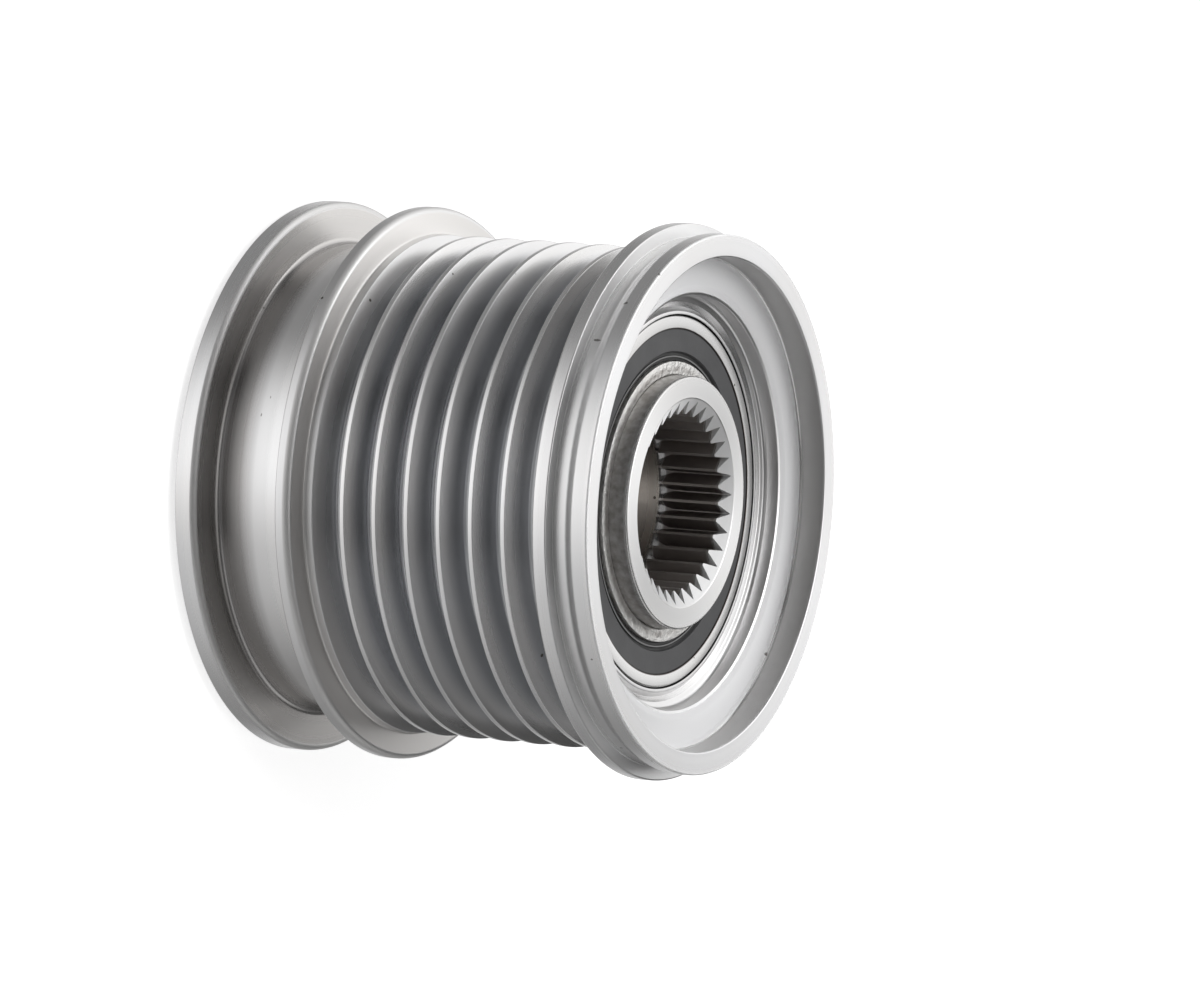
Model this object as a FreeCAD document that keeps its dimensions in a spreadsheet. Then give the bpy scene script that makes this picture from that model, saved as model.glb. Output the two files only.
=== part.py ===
import FreeCAD, Part
import math
import os
import Sketcher

# Overrunning alternator pulley, standing on the rear end of its hub.
# The axis is +Z and points to the front, where the tool spline opens. The pulley turns on two
# sealed ball bearings around the hub, and a one-way roller clutch between them drives the hub.
# All lengths are millimetres and all angles are degrees.

# Driving sizes, one for each length that the makers of such a part could change by itself
DIMENSIONS = {
    # Pulley, outside, from its rear face to the front rim
    "hub_stands_proud": 1.0,
    "flange_radius": 27.65,
    "rear_land_width": 1.55,
    "flank_run": 0.85,
    "flat_track_radius": 23.5,
    "flat_track_width": 8.05,
    "middle_land_width": 1.0,
    "shoulder_run": 0.7,
    "shoulder_width": 0.93,
    "groove_floor_wall": 3.45,
    "rib_pitch": 3.56,
    "rib_grooves": 7,
    "groove_opening": 3.07,
    "groove_depth": 3.0,
    "groove_angle": 40.0,
    "crest_break": 0.07,
    "crest_break_width": 0.035,
    "front_flange_radius": 27.5,
    "front_flank_run": 1.36,
    "front_land_width": 1.42,
    "cap_groove_depth": 0.5,
    "cap_groove_width": 1.5,
    "cap_ramp_run": 0.85,
    "rim_wall": 2.25,
    "cap_land_width": 1.65,
    "edge_break": 0.15,
    # Pulley, inside
    "recess_depth": 2.95,
    "recess_fillet": 0.6,
    "ledge_width": 3.0,
    "ledge_step": 0.9,
    "mouth_clearance": 2.0,
    "mouth_break": 0.35,
    "seat_depth": 2.1,
    "stake_outer_run": 1.3,
    "stake_root_run": 0.8,
    "stake_depth": 0.42,
    "stake_shelf_rise": 0.21,
    "stake_bank_drop": 0.17,
    "stake_lip_width": 0.34,
    "stake_lip_height": 0.08,
    "seat_shoulder": 1.0,
    # Ball bearings, of the thin 25 by 37 by 7 size
    "bearing_bore_radius": 12.5,
    "bearing_section": 6.0,
    "bearing_width": 7.0,
    "race_break": 0.25,
    "inner_shoulder_drop": 1.15,
    "outer_shoulder_rise": 1.1,
    "seal_seat_wall": 1.4,
    "seal_track_rise": 1.36,
    "seal_seat_depth": 0.95,
    "ball_radius": 1.75,
    "ball_count": 18,
    "ball_play": 0.035,
    "cage_wall": 1.5,
    "cage_rim_start": 1.3,
    "cage_length": 3.6,
    "pocket_play": 0.1,
    "seal_thickness": 0.75,
    "seal_inset": 0.1,
    "seal_lip_radius": 14.75,
    "seal_lip_drop": 0.32,
    "seal_lip_slope": 0.08,
    "seal_play": 0.06,
    # Hub sleeve
    "collar_radius": 13.6,
    "collar_thickness": 2.5,
    "nose_length": 2.0,
    "nose_break": 0.2,
    "pilot_radius": 8.51,
    "pilot_depth": 7.5,
    "pilot_mouth_break": 0.25,
    "pilot_cone_run": 0.66,
    "thread_core_radius": 7.188,
    "thread_length": 16.5,
    "relief_radius": 8.95,
    "spline_depth": 7.7,
    "spline_crest_radius": 8.75,
    "spline_root_radius": 10.05,
    "spline_crest_flat": 0.44,
    "spline_root_flat": 0.1,
    "spline_teeth": 33,
    "spline_space_angle": 18.3,
    "spline_ledge_radius": 9.4,
    "spline_run_out": 1.1,
    "lead_in_radius": 10.4,
    "lead_in_angle": 120.0,
    # One-way roller clutch
    "ring_thickness": 1.5,
    "ring_bore_radius": 15.2,
    "cam_count": 10,
    "roller_radius": 1.75,
    "roller_play": 0.015,
    "wedge_angle": 8.0,
    "ramp_angle": 30.0,
    "ramp_end_angle": 2.0,
    "cam_deep_angle": 18.0,
    "cam_floor_angle": 24.0,
    "cam_land_drop": 0.25,
    "clutch_cage_bore_gap": 0.3,
    "clutch_cage_cam_gap": 0.15,
    "clutch_cage_rim": 2.3,
    "clutch_end_play": 0.2,
    "roller_end_play": 0.2,
    "window_front_angle": 29.5,
    "window_back_angle": 5.5,
    "spring_width": 8.0,
    "spring_reach": 1.0,
    "spring_strip_height": 0.6,
    "spring_gap_angle": 0.3,
    "spring_folds": 4,
    # How far a cut starts outside the metal
    "cut_clearance": 0.2,
}

DEGREES_PER_RADIAN = 180.0 / math.pi

doc = FreeCAD.newDocument("overrunning_pulley")
sheet = doc.addObject("Spreadsheet::Sheet", "Sizes")


class Size:
    """A length, angle or count together with the sheet expression that gives it."""

    def __init__(self, value, text):
        self.value = value
        self.text = text

    def joined(self, other, sign, value):
        return Size(value, f"({self.text} {sign} {as_size(other).text})")

    def __add__(self, other):
        return self.joined(other, "+", self.value + as_size(other).value)

    def __sub__(self, other):
        return self.joined(other, "-", self.value - as_size(other).value)

    def __mul__(self, other):
        return self.joined(other, "*", self.value * as_size(other).value)

    def __truediv__(self, other):
        return self.joined(other, "/", self.value / as_size(other).value)


def as_size(number):
    """Takes a Size as it is and wraps a plain number."""
    return number if isinstance(number, Size) else Size(number, repr(float(number)))


def sine(angle):
    return Size(math.sin(math.radians(angle.value)), f"sin({angle.text} * 1 deg)")


def cosine(angle):
    return Size(math.cos(math.radians(angle.value)), f"cos({angle.text} * 1 deg)")


def tangent(angle):
    return Size(math.tan(math.radians(angle.value)), f"tan({angle.text} * 1 deg)")


def write_sheet():
    """Fills the sheet and returns each size under its own name."""
    sizes = {}
    for row, (alias, number) in enumerate(DIMENSIONS.items(), start=1):
        sheet.set(f"A{row}", alias)
        sheet.set(f"B{row}", str(number))
        sheet.setAlias(f"B{row}", alias)
        sizes[alias] = Size(number, f"Sizes.{alias}")
    doc.recompute()
    return sizes


SIZES = write_sheet()


def given(alias):
    return SIZES[alias]


def polar(radius, angle):
    """The x and y of a point at a radius and an angle about the axis."""
    return radius * cosine(angle), radius * sine(angle)


# Sketches and features

def new_body(label):
    body = doc.addObject("PartDesign::Body", label)
    body.Label = label
    body.AllowCompound = True
    return body


def origin_feature(body, role):
    """One of the body's own origin planes or axes."""
    for feature in body.Origin.OriginFeatures:
        if feature.Role == role:
            return feature
    raise ValueError(role)


def sketch_on(body, name, role, height=None):
    """A sketch on one of the body's own origin planes, lifted to a height if one is given."""
    sketch = body.newObject("Sketcher::SketchObject", name)
    sketch.AttachmentSupport = [(origin_feature(body, role), "")]
    sketch.MapMode = "FlatFace"
    if height is not None:
        sketch.setExpression("AttachmentOffset.Base.z", height.text)
    return sketch


def tie(sketch, kind, corner, size):
    """Ties one corner's distance from the sketch origin to a size."""
    number = sketch.addConstraint(Sketcher.Constraint(kind, -1, 1, corner[0], corner[1], size.value))
    sketch.setExpression(f"Constraints[{number}]", size.text)


def closed_outline(sketch, corners):
    """Draws straight edges through the corners and ties every corner to the sheet."""
    points = [FreeCAD.Vector(as_size(x).value, as_size(y).value, 0) for x, y in corners]
    count = len(points)
    edges = [Part.LineSegment(points[k], points[(k + 1) % count]) for k in range(count)]
    sketch.addGeometry(edges, False)
    sketch.addConstraint([Sketcher.Constraint("Coincident", k, 2, (k + 1) % count, 1) for k in range(count)])
    for k, (x, y) in enumerate(corners):
        tie(sketch, "DistanceX", (k, 1), as_size(x))
        tie(sketch, "DistanceY", (k, 1), as_size(y))


def turned(body, name, corners, kind="PartDesign::Revolution"):
    """Turns a closed outline of (radius, height) corners about the axis, to add or to cut."""
    sketch = sketch_on(body, name + "_outline", "XZ_Plane")
    closed_outline(sketch, corners)
    feature = body.newObject(kind, name)
    feature.Profile = sketch
    feature.ReferenceAxis = (sketch, ["V_Axis"])
    feature.Angle = 360
    sketch.Visibility = False
    return feature


def extruded(body, name, kind, height, length, corners, upwards):
    """Pads or pockets an outline seen along the axis, starting at a height."""
    sketch = sketch_on(body, name + "_outline", "XY_Plane", height)
    closed_outline(sketch, corners)
    feature = body.newObject(kind, name)
    feature.Profile = sketch
    feature.setExpression("Length", length.text)
    along_normal = kind == "PartDesign::Pad"
    feature.Reversed = upwards != along_normal
    return feature


def around_axis(body, name, originals, count):
    """Repeats features in equal steps around the axis."""
    pattern = body.newObject("PartDesign::PolarPattern", name)
    pattern.Originals = originals
    pattern.Axis = (origin_feature(body, "Z_Axis"), [""])
    pattern.Angle = 360
    pattern.Occurrences = int(count.value)
    pattern.setExpression("Occurrences", count.text)
    body.Tip = pattern
    return pattern


def rings_at(shape, radius, height):
    """Names of the round edges of a radius at a height."""
    found = []
    for number, edge in enumerate(shape.Edges, start=1):
        curve = edge.Curve
        if not hasattr(curve, "Radius") or not hasattr(curve, "Center"):
            continue
        same_radius = abs(curve.Radius - radius.value) < 1e-4
        if same_radius and abs(curve.Center.z - height.value) < 1e-4:
            found.append(f"Edge{number}")
    if not found:
        raise ValueError(f"no edge of radius {radius.value} at height {height.value}")
    return found


def rounded(body, name, rings, size, kind="PartDesign::Fillet"):
    """Rounds or breaks the round edges listed as (radius, height)."""
    doc.recompute()
    base = body.Tip
    names = []
    for radius, height in rings:
        names += rings_at(base.Shape, radius, height)
    feature = body.newObject(kind, name)
    feature.Base = (base, names)
    feature.setExpression("Radius" if kind.endswith("Fillet") else "Size", size.text)
    body.Tip = feature
    return feature


# Heights along the axis, from the hub's rear face at 0

hub_rear_face = as_size(0.0)
rear_face = hub_rear_face + given("hub_stands_proud")
rear_land_front = rear_face + given("rear_land_width")
track_start = rear_land_front + given("flank_run")
track_end = track_start + given("flat_track_width")
middle_land_rear = track_end + given("flank_run")
middle_land_front = middle_land_rear + given("middle_land_width")
shoulder_start = middle_land_front + given("shoulder_run")
ribs_start = shoulder_start + given("shoulder_width")
ribs_end = ribs_start + given("rib_pitch") * (given("rib_grooves") - 1) + given("groove_opening")
front_land_rear = ribs_end + given("front_flank_run")
front_land_front = front_land_rear + given("front_land_width")
cap_groove_end = front_land_front + given("cap_groove_width")
cap_land_start = cap_groove_end + given("cap_ramp_run")
rim_face = cap_land_start + given("cap_land_width")

ledge = rim_face - given("recess_depth")
front_bearing_face = ledge - given("seat_depth")
front_bearing_rear = front_bearing_face - given("bearing_width")
rear_bearing_rear = hub_rear_face + given("collar_thickness")
rear_bearing_face = rear_bearing_rear + given("bearing_width")
hub_face = front_bearing_face + given("nose_length")

bearing_outer_radius = given("bearing_bore_radius") + given("bearing_section")
seal_seat_radius = bearing_outer_radius - given("seal_seat_wall")
seal_track_radius = given("bearing_bore_radius") + given("seal_track_rise")
mid_bore_radius = bearing_outer_radius - given("seat_shoulder")
mouth_radius = bearing_outer_radius + given("mouth_clearance")
ledge_radius = mouth_radius + given("ledge_step")
recess_radius = ledge_radius + given("ledge_width")
cap_land_radius = recess_radius + given("rim_wall")
cap_groove_radius = cap_land_radius - given("cap_groove_depth")
rib_radius = bearing_outer_radius + given("groove_floor_wall") + given("groove_depth")
pitch_radius = (given("bearing_bore_radius") + bearing_outer_radius) / 2
inner_shoulder_radius = pitch_radius - given("inner_shoulder_drop")
outer_shoulder_radius = pitch_radius + given("outer_shoulder_rise")

clutch_start = rear_bearing_face + given("ring_thickness")
clutch_end = front_bearing_rear - given("ring_thickness")
roller_centre_radius = given("bearing_bore_radius") + given("roller_radius") + given("roller_play")
cam_land_radius = given("bearing_bore_radius") + given("roller_radius") * 2 - given("cam_land_drop")


# Pulley

def staked_seat(face, outwards, mouth_top):
    """Corners of a bearing seat's staked lip, from the seat wall out to the mouth wall.

    face is the bearing's outer face and outwards is 1 towards the front or -1 towards the rear.
    """
    lip_top = face + given("stake_lip_height") * outwards
    root = face - given("stake_depth") * outwards
    shelf = face + given("stake_shelf_rise") * outwards
    lip_outer = bearing_outer_radius + given("stake_lip_width")
    return [
        (bearing_outer_radius, lip_top),
        (lip_outer, lip_top),
        (bearing_outer_radius + given("stake_root_run"), root),
        (bearing_outer_radius + given("stake_outer_run"), shelf - given("stake_bank_drop") * outwards),
        (mouth_radius - given("mouth_break"), shelf),
        (mouth_radius, shelf + given("mouth_break") * outwards),
        (mouth_radius, mouth_top),
    ]


def build_pulley_shell():
    body = new_body("pulley_shell")
    edge = given("edge_break")
    flange = given("flange_radius")
    front_flange = given("front_flange_radius")
    track = given("flat_track_radius")
    outside = [
        (flange - edge, rear_face),
        (flange, rear_face + edge),
        (flange, rear_land_front - edge),
        (flange - edge, rear_land_front),
        (track, track_start),
        (track, track_end),
        (flange - edge, middle_land_rear),
        (flange, middle_land_rear + edge),
        (flange, middle_land_front - edge),
        (flange - edge, middle_land_front),
        (rib_radius, shoulder_start),
        (rib_radius, ribs_end),
        (front_flange - edge, front_land_rear),
        (front_flange, front_land_rear + edge),
        (front_flange, front_land_front - edge),
        (front_flange - edge, front_land_front),
        (cap_groove_radius, front_land_front),
        (cap_groove_radius, cap_groove_end),
        (cap_land_radius, cap_land_start),
        (cap_land_radius, rim_face - edge),
        (cap_land_radius - edge, rim_face),
    ]
    front_seat = staked_seat(front_bearing_face, 1, ledge - given("mouth_break"))
    rear_seat = staked_seat(rear_bearing_rear, -1, rear_face + given("mouth_break"))
    inside = [
        (recess_radius, rim_face),
        (recess_radius, ledge),
        (ledge_radius, ledge),
    ]
    inside += reversed(front_seat)
    inside += [
        (bearing_outer_radius, front_bearing_rear),
        (mid_bore_radius, front_bearing_rear),
        (mid_bore_radius, rear_bearing_face),
        (bearing_outer_radius, rear_bearing_face),
    ]
    inside += rear_seat
    inside.append((mouth_radius + given("mouth_break"), rear_face))
    turned(body, "turned_blank", outside + inside)

    half_opening = given("groove_opening") / 2
    half_angle = given("groove_angle") / 2
    middle = ribs_start + half_opening
    half_floor = half_opening - given("groove_depth") * tangent(half_angle)
    crest = rib_radius
    crest_break = given("crest_break")
    break_width = given("crest_break_width")
    clear_of_crest = crest + given("cut_clearance")
    groove = turned(body, "belt_groove", [
        (crest - given("groove_depth"), middle - half_floor),
        (crest - given("groove_depth"), middle + half_floor),
        (crest - crest_break, middle + half_opening - crest_break * tangent(half_angle)),
        (crest, middle + half_opening + break_width),
        (clear_of_crest, middle + half_opening + break_width),
        (clear_of_crest, middle - half_opening - break_width),
        (crest, middle - half_opening - break_width),
        (crest - crest_break, middle - half_opening + crest_break * tangent(half_angle)),
    ], "PartDesign::Groove")
    grooves = body.newObject("PartDesign::LinearPattern", "belt_grooves")
    grooves.Originals = [groove]
    grooves.Direction = (groove.Profile[0], ["V_Axis"])
    grooves.setExpression("Length", (given("rib_pitch") * (given("rib_grooves") - 1)).text)
    grooves.Occurrences = int(given("rib_grooves").value)
    grooves.setExpression("Occurrences", given("rib_grooves").text)
    body.Tip = grooves
    rounded(body, "recess_root", [(recess_radius, ledge), (track, track_start), (track, track_end)],
            given("recess_fillet"))
    return body


# Hub

def build_hub_sleeve():
    body = new_body("hub_sleeve")
    journal = given("bearing_bore_radius")
    nose_break = given("nose_break")
    thread_start = given("pilot_depth")
    thread_end = thread_start + given("thread_length")
    thread_step = given("relief_radius") - given("thread_core_radius")
    spline_end = hub_face - given("spline_depth")
    turned(body, "turned_sleeve", [
        (given("pilot_radius") + given("pilot_mouth_break"), hub_rear_face),
        (given("collar_radius") - nose_break, hub_rear_face),
        (given("collar_radius"), nose_break),
        (given("collar_radius"), given("collar_thickness")),
        (journal, given("collar_thickness")),
        (journal, hub_face - nose_break),
        (journal - nose_break, hub_face),
        (given("spline_crest_radius"), hub_face),
        (given("spline_crest_radius"), spline_end),
        (given("relief_radius"), spline_end),
        (given("relief_radius"), thread_end + thread_step),
        (given("thread_core_radius"), thread_end),
        (given("thread_core_radius"), thread_start),
        (given("pilot_radius"), thread_start - given("pilot_cone_run")),
        (given("pilot_radius"), given("pilot_mouth_break")),
    ])

    # One V-shaped space of the spline, cut along the axis and repeated between the teeth
    crest = given("spline_crest_radius")
    root = given("spline_root_radius")
    pitch_angle = as_size(360.0) / given("spline_teeth")
    crest_half_angle = given("spline_crest_flat") / crest * DEGREES_PER_RADIAN / 2
    space_half_angle = pitch_angle / 2 - crest_half_angle
    root_half = given("spline_root_flat") / 2
    crest_half = crest * sine(space_half_angle)
    bore_side = crest - given("cut_clearance")
    crest_chord = crest * cosine(space_half_angle)
    spread = (crest_half - root_half) / (root - crest_chord)
    bore_half = crest_half + (crest_chord - bore_side) * spread
    middle = given("spline_space_angle")
    space = sketch_on(body, "spline_space_outline", "XY_Plane", hub_face)
    corners = []
    outline = [(bore_side, bore_half * -1), (root, root_half * -1), (root, root_half), (bore_side, bore_half)]
    for along, across in outline:
        x = along * cosine(middle) - across * sine(middle)
        y = along * sine(middle) + across * cosine(middle)
        corners.append((x, y))
    closed_outline(space, corners)
    cut = body.newObject("PartDesign::Pocket", "spline_space")
    cut.Profile = space
    cut.setExpression("Length", given("spline_depth").text)
    around_axis(body, "spline_spaces", [cut], given("spline_teeth"))

    # The spaces end on a narrow ledge and a cone that runs out to their roots
    spline_ledge = given("spline_ledge_radius")
    inside_wall = root + given("nose_break")
    slope = given("spline_run_out") / (root - spline_ledge)
    turned(body, "spline_run_out", [
        (spline_ledge, spline_end),
        (inside_wall, spline_end + (inside_wall - spline_ledge) * slope),
        (inside_wall, spline_end),
    ])

    # Wide cone that leads the tool in
    lead_depth = (given("lead_in_radius") - crest) / tangent(given("lead_in_angle") / 2)
    turned(body, "lead_in", [
        (crest - nose_break, hub_face - lead_depth - nose_break / tangent(given("lead_in_angle") / 2)),
        (given("lead_in_radius"), hub_face),
        (given("lead_in_radius"), hub_face + nose_break),
        (crest - nose_break, hub_face + nose_break),
    ], "PartDesign::Groove")
    return body


# Ball bearings

def build_bearing(end, start):
    """The six kinds of piece in one sealed ball bearing that starts at a height."""
    top = start + given("bearing_width")
    middle = start + given("bearing_width") / 2
    corner = given("race_break")
    bore = given("bearing_bore_radius")
    rim = bearing_outer_radius
    seat_depth = given("seal_seat_depth")
    groove_radius = given("ball_radius") + given("ball_play")

    outer = new_body(end + "_outer_race")
    turned(outer, end + "_outer_ring", [
        (seal_seat_radius, start),
        (rim - corner, start),
        (rim, start + corner),
        (rim, top - corner),
        (rim - corner, top),
        (seal_seat_radius, top),
        (seal_seat_radius, top - seat_depth),
        (outer_shoulder_radius, top - seat_depth),
        (outer_shoulder_radius, start + seat_depth),
        (seal_seat_radius, start + seat_depth),
    ])
    ball_groove(outer, end + "_outer_ball_groove", middle, groove_radius)

    inner = new_body(end + "_inner_race")
    turned(inner, end + "_inner_ring", [
        (bore, start + corner),
        (bore + corner, start),
        (seal_track_radius, start),
        (seal_track_radius, start + seat_depth),
        (inner_shoulder_radius, start + seat_depth + corner),
        (inner_shoulder_radius, top - seat_depth - corner),
        (seal_track_radius, top - seat_depth),
        (seal_track_radius, top),
        (bore + corner, top),
        (bore, top - corner),
    ])
    ball_groove(inner, end + "_inner_ball_groove", middle, groove_radius)

    balls = new_body(end + "_balls")
    ball = sphere_in(balls, "PartDesign::AdditiveSphere", end + "_ball", given("ball_radius"), middle)
    around_axis(balls, end + "_ball_row", [ball], given("ball_count"))

    cage = new_body(end + "_ball_cage")
    cage_bottom = start + given("cage_rim_start")
    cage_top = cage_bottom + given("cage_length")
    turned(cage, end + "_cage_ring", [
        (pitch_radius - given("cage_wall") / 2, cage_bottom),
        (pitch_radius + given("cage_wall") / 2, cage_bottom),
        (pitch_radius + given("cage_wall") / 2, cage_top),
        (pitch_radius - given("cage_wall") / 2, cage_top),
    ])
    pocket_radius = given("ball_radius") + given("pocket_play")
    pocket = sphere_in(cage, "PartDesign::SubtractiveSphere", end + "_cage_pocket", pocket_radius, middle)
    around_axis(cage, end + "_cage_pockets", [pocket], given("ball_count"))

    build_seal(end + "_bearing_front_seal", top, 1)
    build_seal(end + "_bearing_rear_seal", start, -1)


def ball_groove(body, name, middle, radius):
    """Cuts the round track of the balls into a race."""
    groove = body.newObject("PartDesign::SubtractiveTorus", name)
    groove.AttachmentSupport = [(origin_feature(body, "XY_Plane"), "")]
    groove.MapMode = "FlatFace"
    groove.setExpression("AttachmentOffset.Base.z", middle.text)
    groove.setExpression("Radius1", pitch_radius.text)
    groove.setExpression("Radius2", radius.text)
    body.Tip = groove


def sphere_in(body, kind, name, radius, middle):
    """A sphere on the pitch circle, as a ball or as the pocket for one."""
    sphere = body.newObject(kind, name)
    sphere.AttachmentSupport = [(origin_feature(body, "XY_Plane"), "")]
    sphere.MapMode = "FlatFace"
    sphere.setExpression("AttachmentOffset.Base.x", pitch_radius.text)
    sphere.setExpression("AttachmentOffset.Base.z", middle.text)
    sphere.setExpression("Radius", radius.text)
    body.Tip = sphere
    return sphere


def build_seal(label, face, outwards):
    """A rubber seal with a thinner lip, set in from a bearing face."""
    body = new_body(label)
    outside = face - given("seal_inset") * outwards
    inside = outside - given("seal_thickness") * outwards
    lip = outside - given("seal_lip_drop") * outwards
    lip_radius = given("seal_lip_radius")
    turned(body, label + "_section", [
        (seal_track_radius + given("seal_play"), inside),
        (seal_seat_radius, inside),
        (seal_seat_radius, outside),
        (lip_radius + given("seal_lip_slope"), outside),
        (lip_radius, lip),
        (seal_track_radius + given("seal_play"), lip),
    ])


# One-way clutch

def build_clutch():
    cage_start = clutch_start + given("clutch_end_play")
    cage_length = clutch_end - clutch_start - given("clutch_end_play") * 2
    window_top = clutch_end - given("clutch_end_play") - given("clutch_cage_rim")
    window_length = cage_length - given("clutch_cage_rim") * 2
    roller_length = window_length - given("roller_end_play") * 2
    roller_start = cage_start + given("clutch_cage_rim") + given("roller_end_play")
    roller_angle = given("ramp_angle") - given("wedge_angle")
    ramp_distance = (roller_centre_radius * cosine(given("wedge_angle")) + given("roller_radius")
                     + given("roller_play"))

    for label, start in (("clutch_rear_ring", rear_bearing_face), ("clutch_front_ring", clutch_end)):
        ring = new_body(label)
        turned(ring, label + "_section", [
            (given("ring_bore_radius"), start),
            (mid_bore_radius, start),
            (mid_bore_radius, start + given("ring_thickness")),
            (given("ring_bore_radius"), start + given("ring_thickness")),
        ])

    cup = new_body("clutch_cup")
    turned(cup, "cup_ring", [
        (cam_land_radius, clutch_start),
        (mid_bore_radius, clutch_start),
        (mid_bore_radius, clutch_end),
        (cam_land_radius, clutch_end),
    ])
    step_angle = given("ramp_angle") + given("ramp_end_angle")
    deep_angle = given("ramp_angle") - given("cam_deep_angle")
    floor_angle = given("ramp_angle") - given("cam_floor_angle")
    deep_radius = ramp_distance / cosine(given("cam_deep_angle"))
    inside_bore = cam_land_radius - given("cut_clearance")
    cam = extruded(cup, "cam", "PartDesign::Pocket", clutch_end, clutch_end - clutch_start, [
        polar(inside_bore, floor_angle),
        polar(deep_radius, floor_angle),
        polar(deep_radius, deep_angle),
        polar(ramp_distance / cosine(given("ramp_end_angle")), step_angle),
        polar(inside_bore, step_angle),
    ], upwards=False)
    around_axis(cup, "cams", [cam], given("cam_count"))

    cage = new_body("clutch_cage")
    cage_inner = given("bearing_bore_radius") + given("clutch_cage_bore_gap")
    cage_outer = cam_land_radius - given("clutch_cage_cam_gap")
    turned(cage, "clutch_cage_ring", [
        (cage_inner, cage_start),
        (cage_outer, cage_start),
        (cage_outer, cage_start + cage_length),
        (cage_inner, cage_start + cage_length),
    ])
    half_window = (given("window_front_angle") - given("window_back_angle")) / 2
    window_inner = cage_inner - given("cut_clearance")
    window_outer = cage_outer / cosine(half_window) + given("cut_clearance")
    window = extruded(cage, "roller_window", "PartDesign::Pocket", window_top, window_length, [
        polar(window_inner, given("window_back_angle")),
        polar(window_outer, given("window_back_angle")),
        polar(window_outer, given("window_front_angle")),
        polar(window_inner, given("window_front_angle")),
    ], upwards=False)
    around_axis(cage, "roller_windows", [window], given("cam_count"))

    rollers = new_body("clutch_rollers")
    sketch = sketch_on(rollers, "roller_outline", "XY_Plane", roller_start)
    centre_x, centre_y = polar(roller_centre_radius, roller_angle)
    circle = Part.Circle(FreeCAD.Vector(centre_x.value, centre_y.value, 0), FreeCAD.Vector(0, 0, 1),
                         given("roller_radius").value)
    sketch.addGeometry(circle, False)
    tie(sketch, "DistanceX", (0, 3), centre_x)
    tie(sketch, "DistanceY", (0, 3), centre_y)
    radius = sketch.addConstraint(Sketcher.Constraint("Radius", 0, given("roller_radius").value))
    sketch.setExpression(f"Constraints[{radius}]", given("roller_radius").text)
    roller = rollers.newObject("PartDesign::Pad", "roller")
    roller.Profile = sketch
    roller.setExpression("Length", roller_length.text)
    around_axis(rollers, "roller_row", [roller], given("cam_count"))

    build_clutch_springs(roller_angle, roller_start, roller_length)


def build_clutch_springs(roller_angle, roller_start, roller_length):
    """Folded strips that push each roller up its ramp, from the cage bar behind it."""
    body = new_body("clutch_springs")
    strip = given("spring_strip_height")
    half_roller = given("roller_radius") / roller_centre_radius * DEGREES_PER_RADIAN
    first = given("window_back_angle") + given("spring_gap_angle")
    last = roller_angle - half_roller - given("spring_gap_angle")
    step = (last - first) / given("spring_folds")
    inner = roller_centre_radius - given("spring_reach")
    outer = roller_centre_radius + given("spring_reach")
    folds = []
    for fold in range(int(given("spring_folds").value)):
        folds.append((outer if fold % 2 else inner, first + step * fold))
    folds.append((roller_centre_radius, last))
    path = [polar(radius + strip / 2, angle) for radius, angle in folds]
    back = [polar(radius - strip / 2, angle) for radius, angle in reversed(folds)]
    start = roller_start + (roller_length - given("spring_width")) / 2
    spring = extruded(body, "spring", "PartDesign::Pad", start, given("spring_width"), path + back, upwards=True)
    around_axis(body, "spring_row", [spring], given("cam_count"))


def check_document():
    """Stops if any object failed or any body has no sound solid."""
    doc.recompute()
    for item in doc.Objects:
        if "Invalid" in item.State or "Error" in item.State:
            raise RuntimeError(f"{item.Label} failed: {item.State}")
    bodies = [item for item in doc.Objects if item.isDerivedFrom("PartDesign::Body")]
    for body in bodies:
        if body.Shape.isNull() or not body.Shape.isValid() or not body.Shape.Solids:
            raise RuntimeError(f"{body.Label} has no sound solid")
    return bodies


build_pulley_shell()
build_hub_sleeve()
build_bearing("rear", rear_bearing_rear)
build_bearing("front", front_bearing_rear)
build_clutch()

os.makedirs("parts", exist_ok=True)
for sub_part in check_document():
    sub_part.Shape.exportStep(f"parts/{sub_part.Label}.step")
    print(f"{sub_part.Label}: {len(sub_part.Shape.Solids)} solids, {sub_part.Shape.Volume:.1f} mm3")
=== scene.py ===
"""Looks of an overrunning alternator pulley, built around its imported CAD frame.

The part stands on the rear end of its hub with its axis along +Z, and its front, where the
tool spline opens, is up. Sizes are written in millimetres and scaled to metres as meshes are
made. Every piece is turned or cut about the same axis as its CAD node.
"""

import logging
import math
from dataclasses import dataclass
from enum import Enum

import bmesh
import bpy
from mathutils import Matrix, Vector

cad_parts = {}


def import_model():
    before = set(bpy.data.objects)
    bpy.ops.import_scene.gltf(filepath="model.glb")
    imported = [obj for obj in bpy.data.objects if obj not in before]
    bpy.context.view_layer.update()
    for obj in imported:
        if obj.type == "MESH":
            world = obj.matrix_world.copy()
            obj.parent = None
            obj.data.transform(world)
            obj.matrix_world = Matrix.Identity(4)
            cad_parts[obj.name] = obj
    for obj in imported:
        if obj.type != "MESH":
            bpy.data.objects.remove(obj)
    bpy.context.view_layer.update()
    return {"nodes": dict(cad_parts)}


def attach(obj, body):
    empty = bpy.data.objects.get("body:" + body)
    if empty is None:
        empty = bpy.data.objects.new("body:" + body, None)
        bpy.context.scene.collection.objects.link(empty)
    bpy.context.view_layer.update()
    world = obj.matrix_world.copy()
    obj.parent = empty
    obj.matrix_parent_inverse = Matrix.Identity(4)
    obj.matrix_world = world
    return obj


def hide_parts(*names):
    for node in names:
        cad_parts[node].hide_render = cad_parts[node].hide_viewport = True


LOG = logging.getLogger("alternator_pulley")
MM = 0.001
AXIS = Vector((0.0, 0.0, 1.0))
FULL_TURN = 2.0 * math.pi
WHITE = (1.0, 1.0, 1.0)
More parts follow.
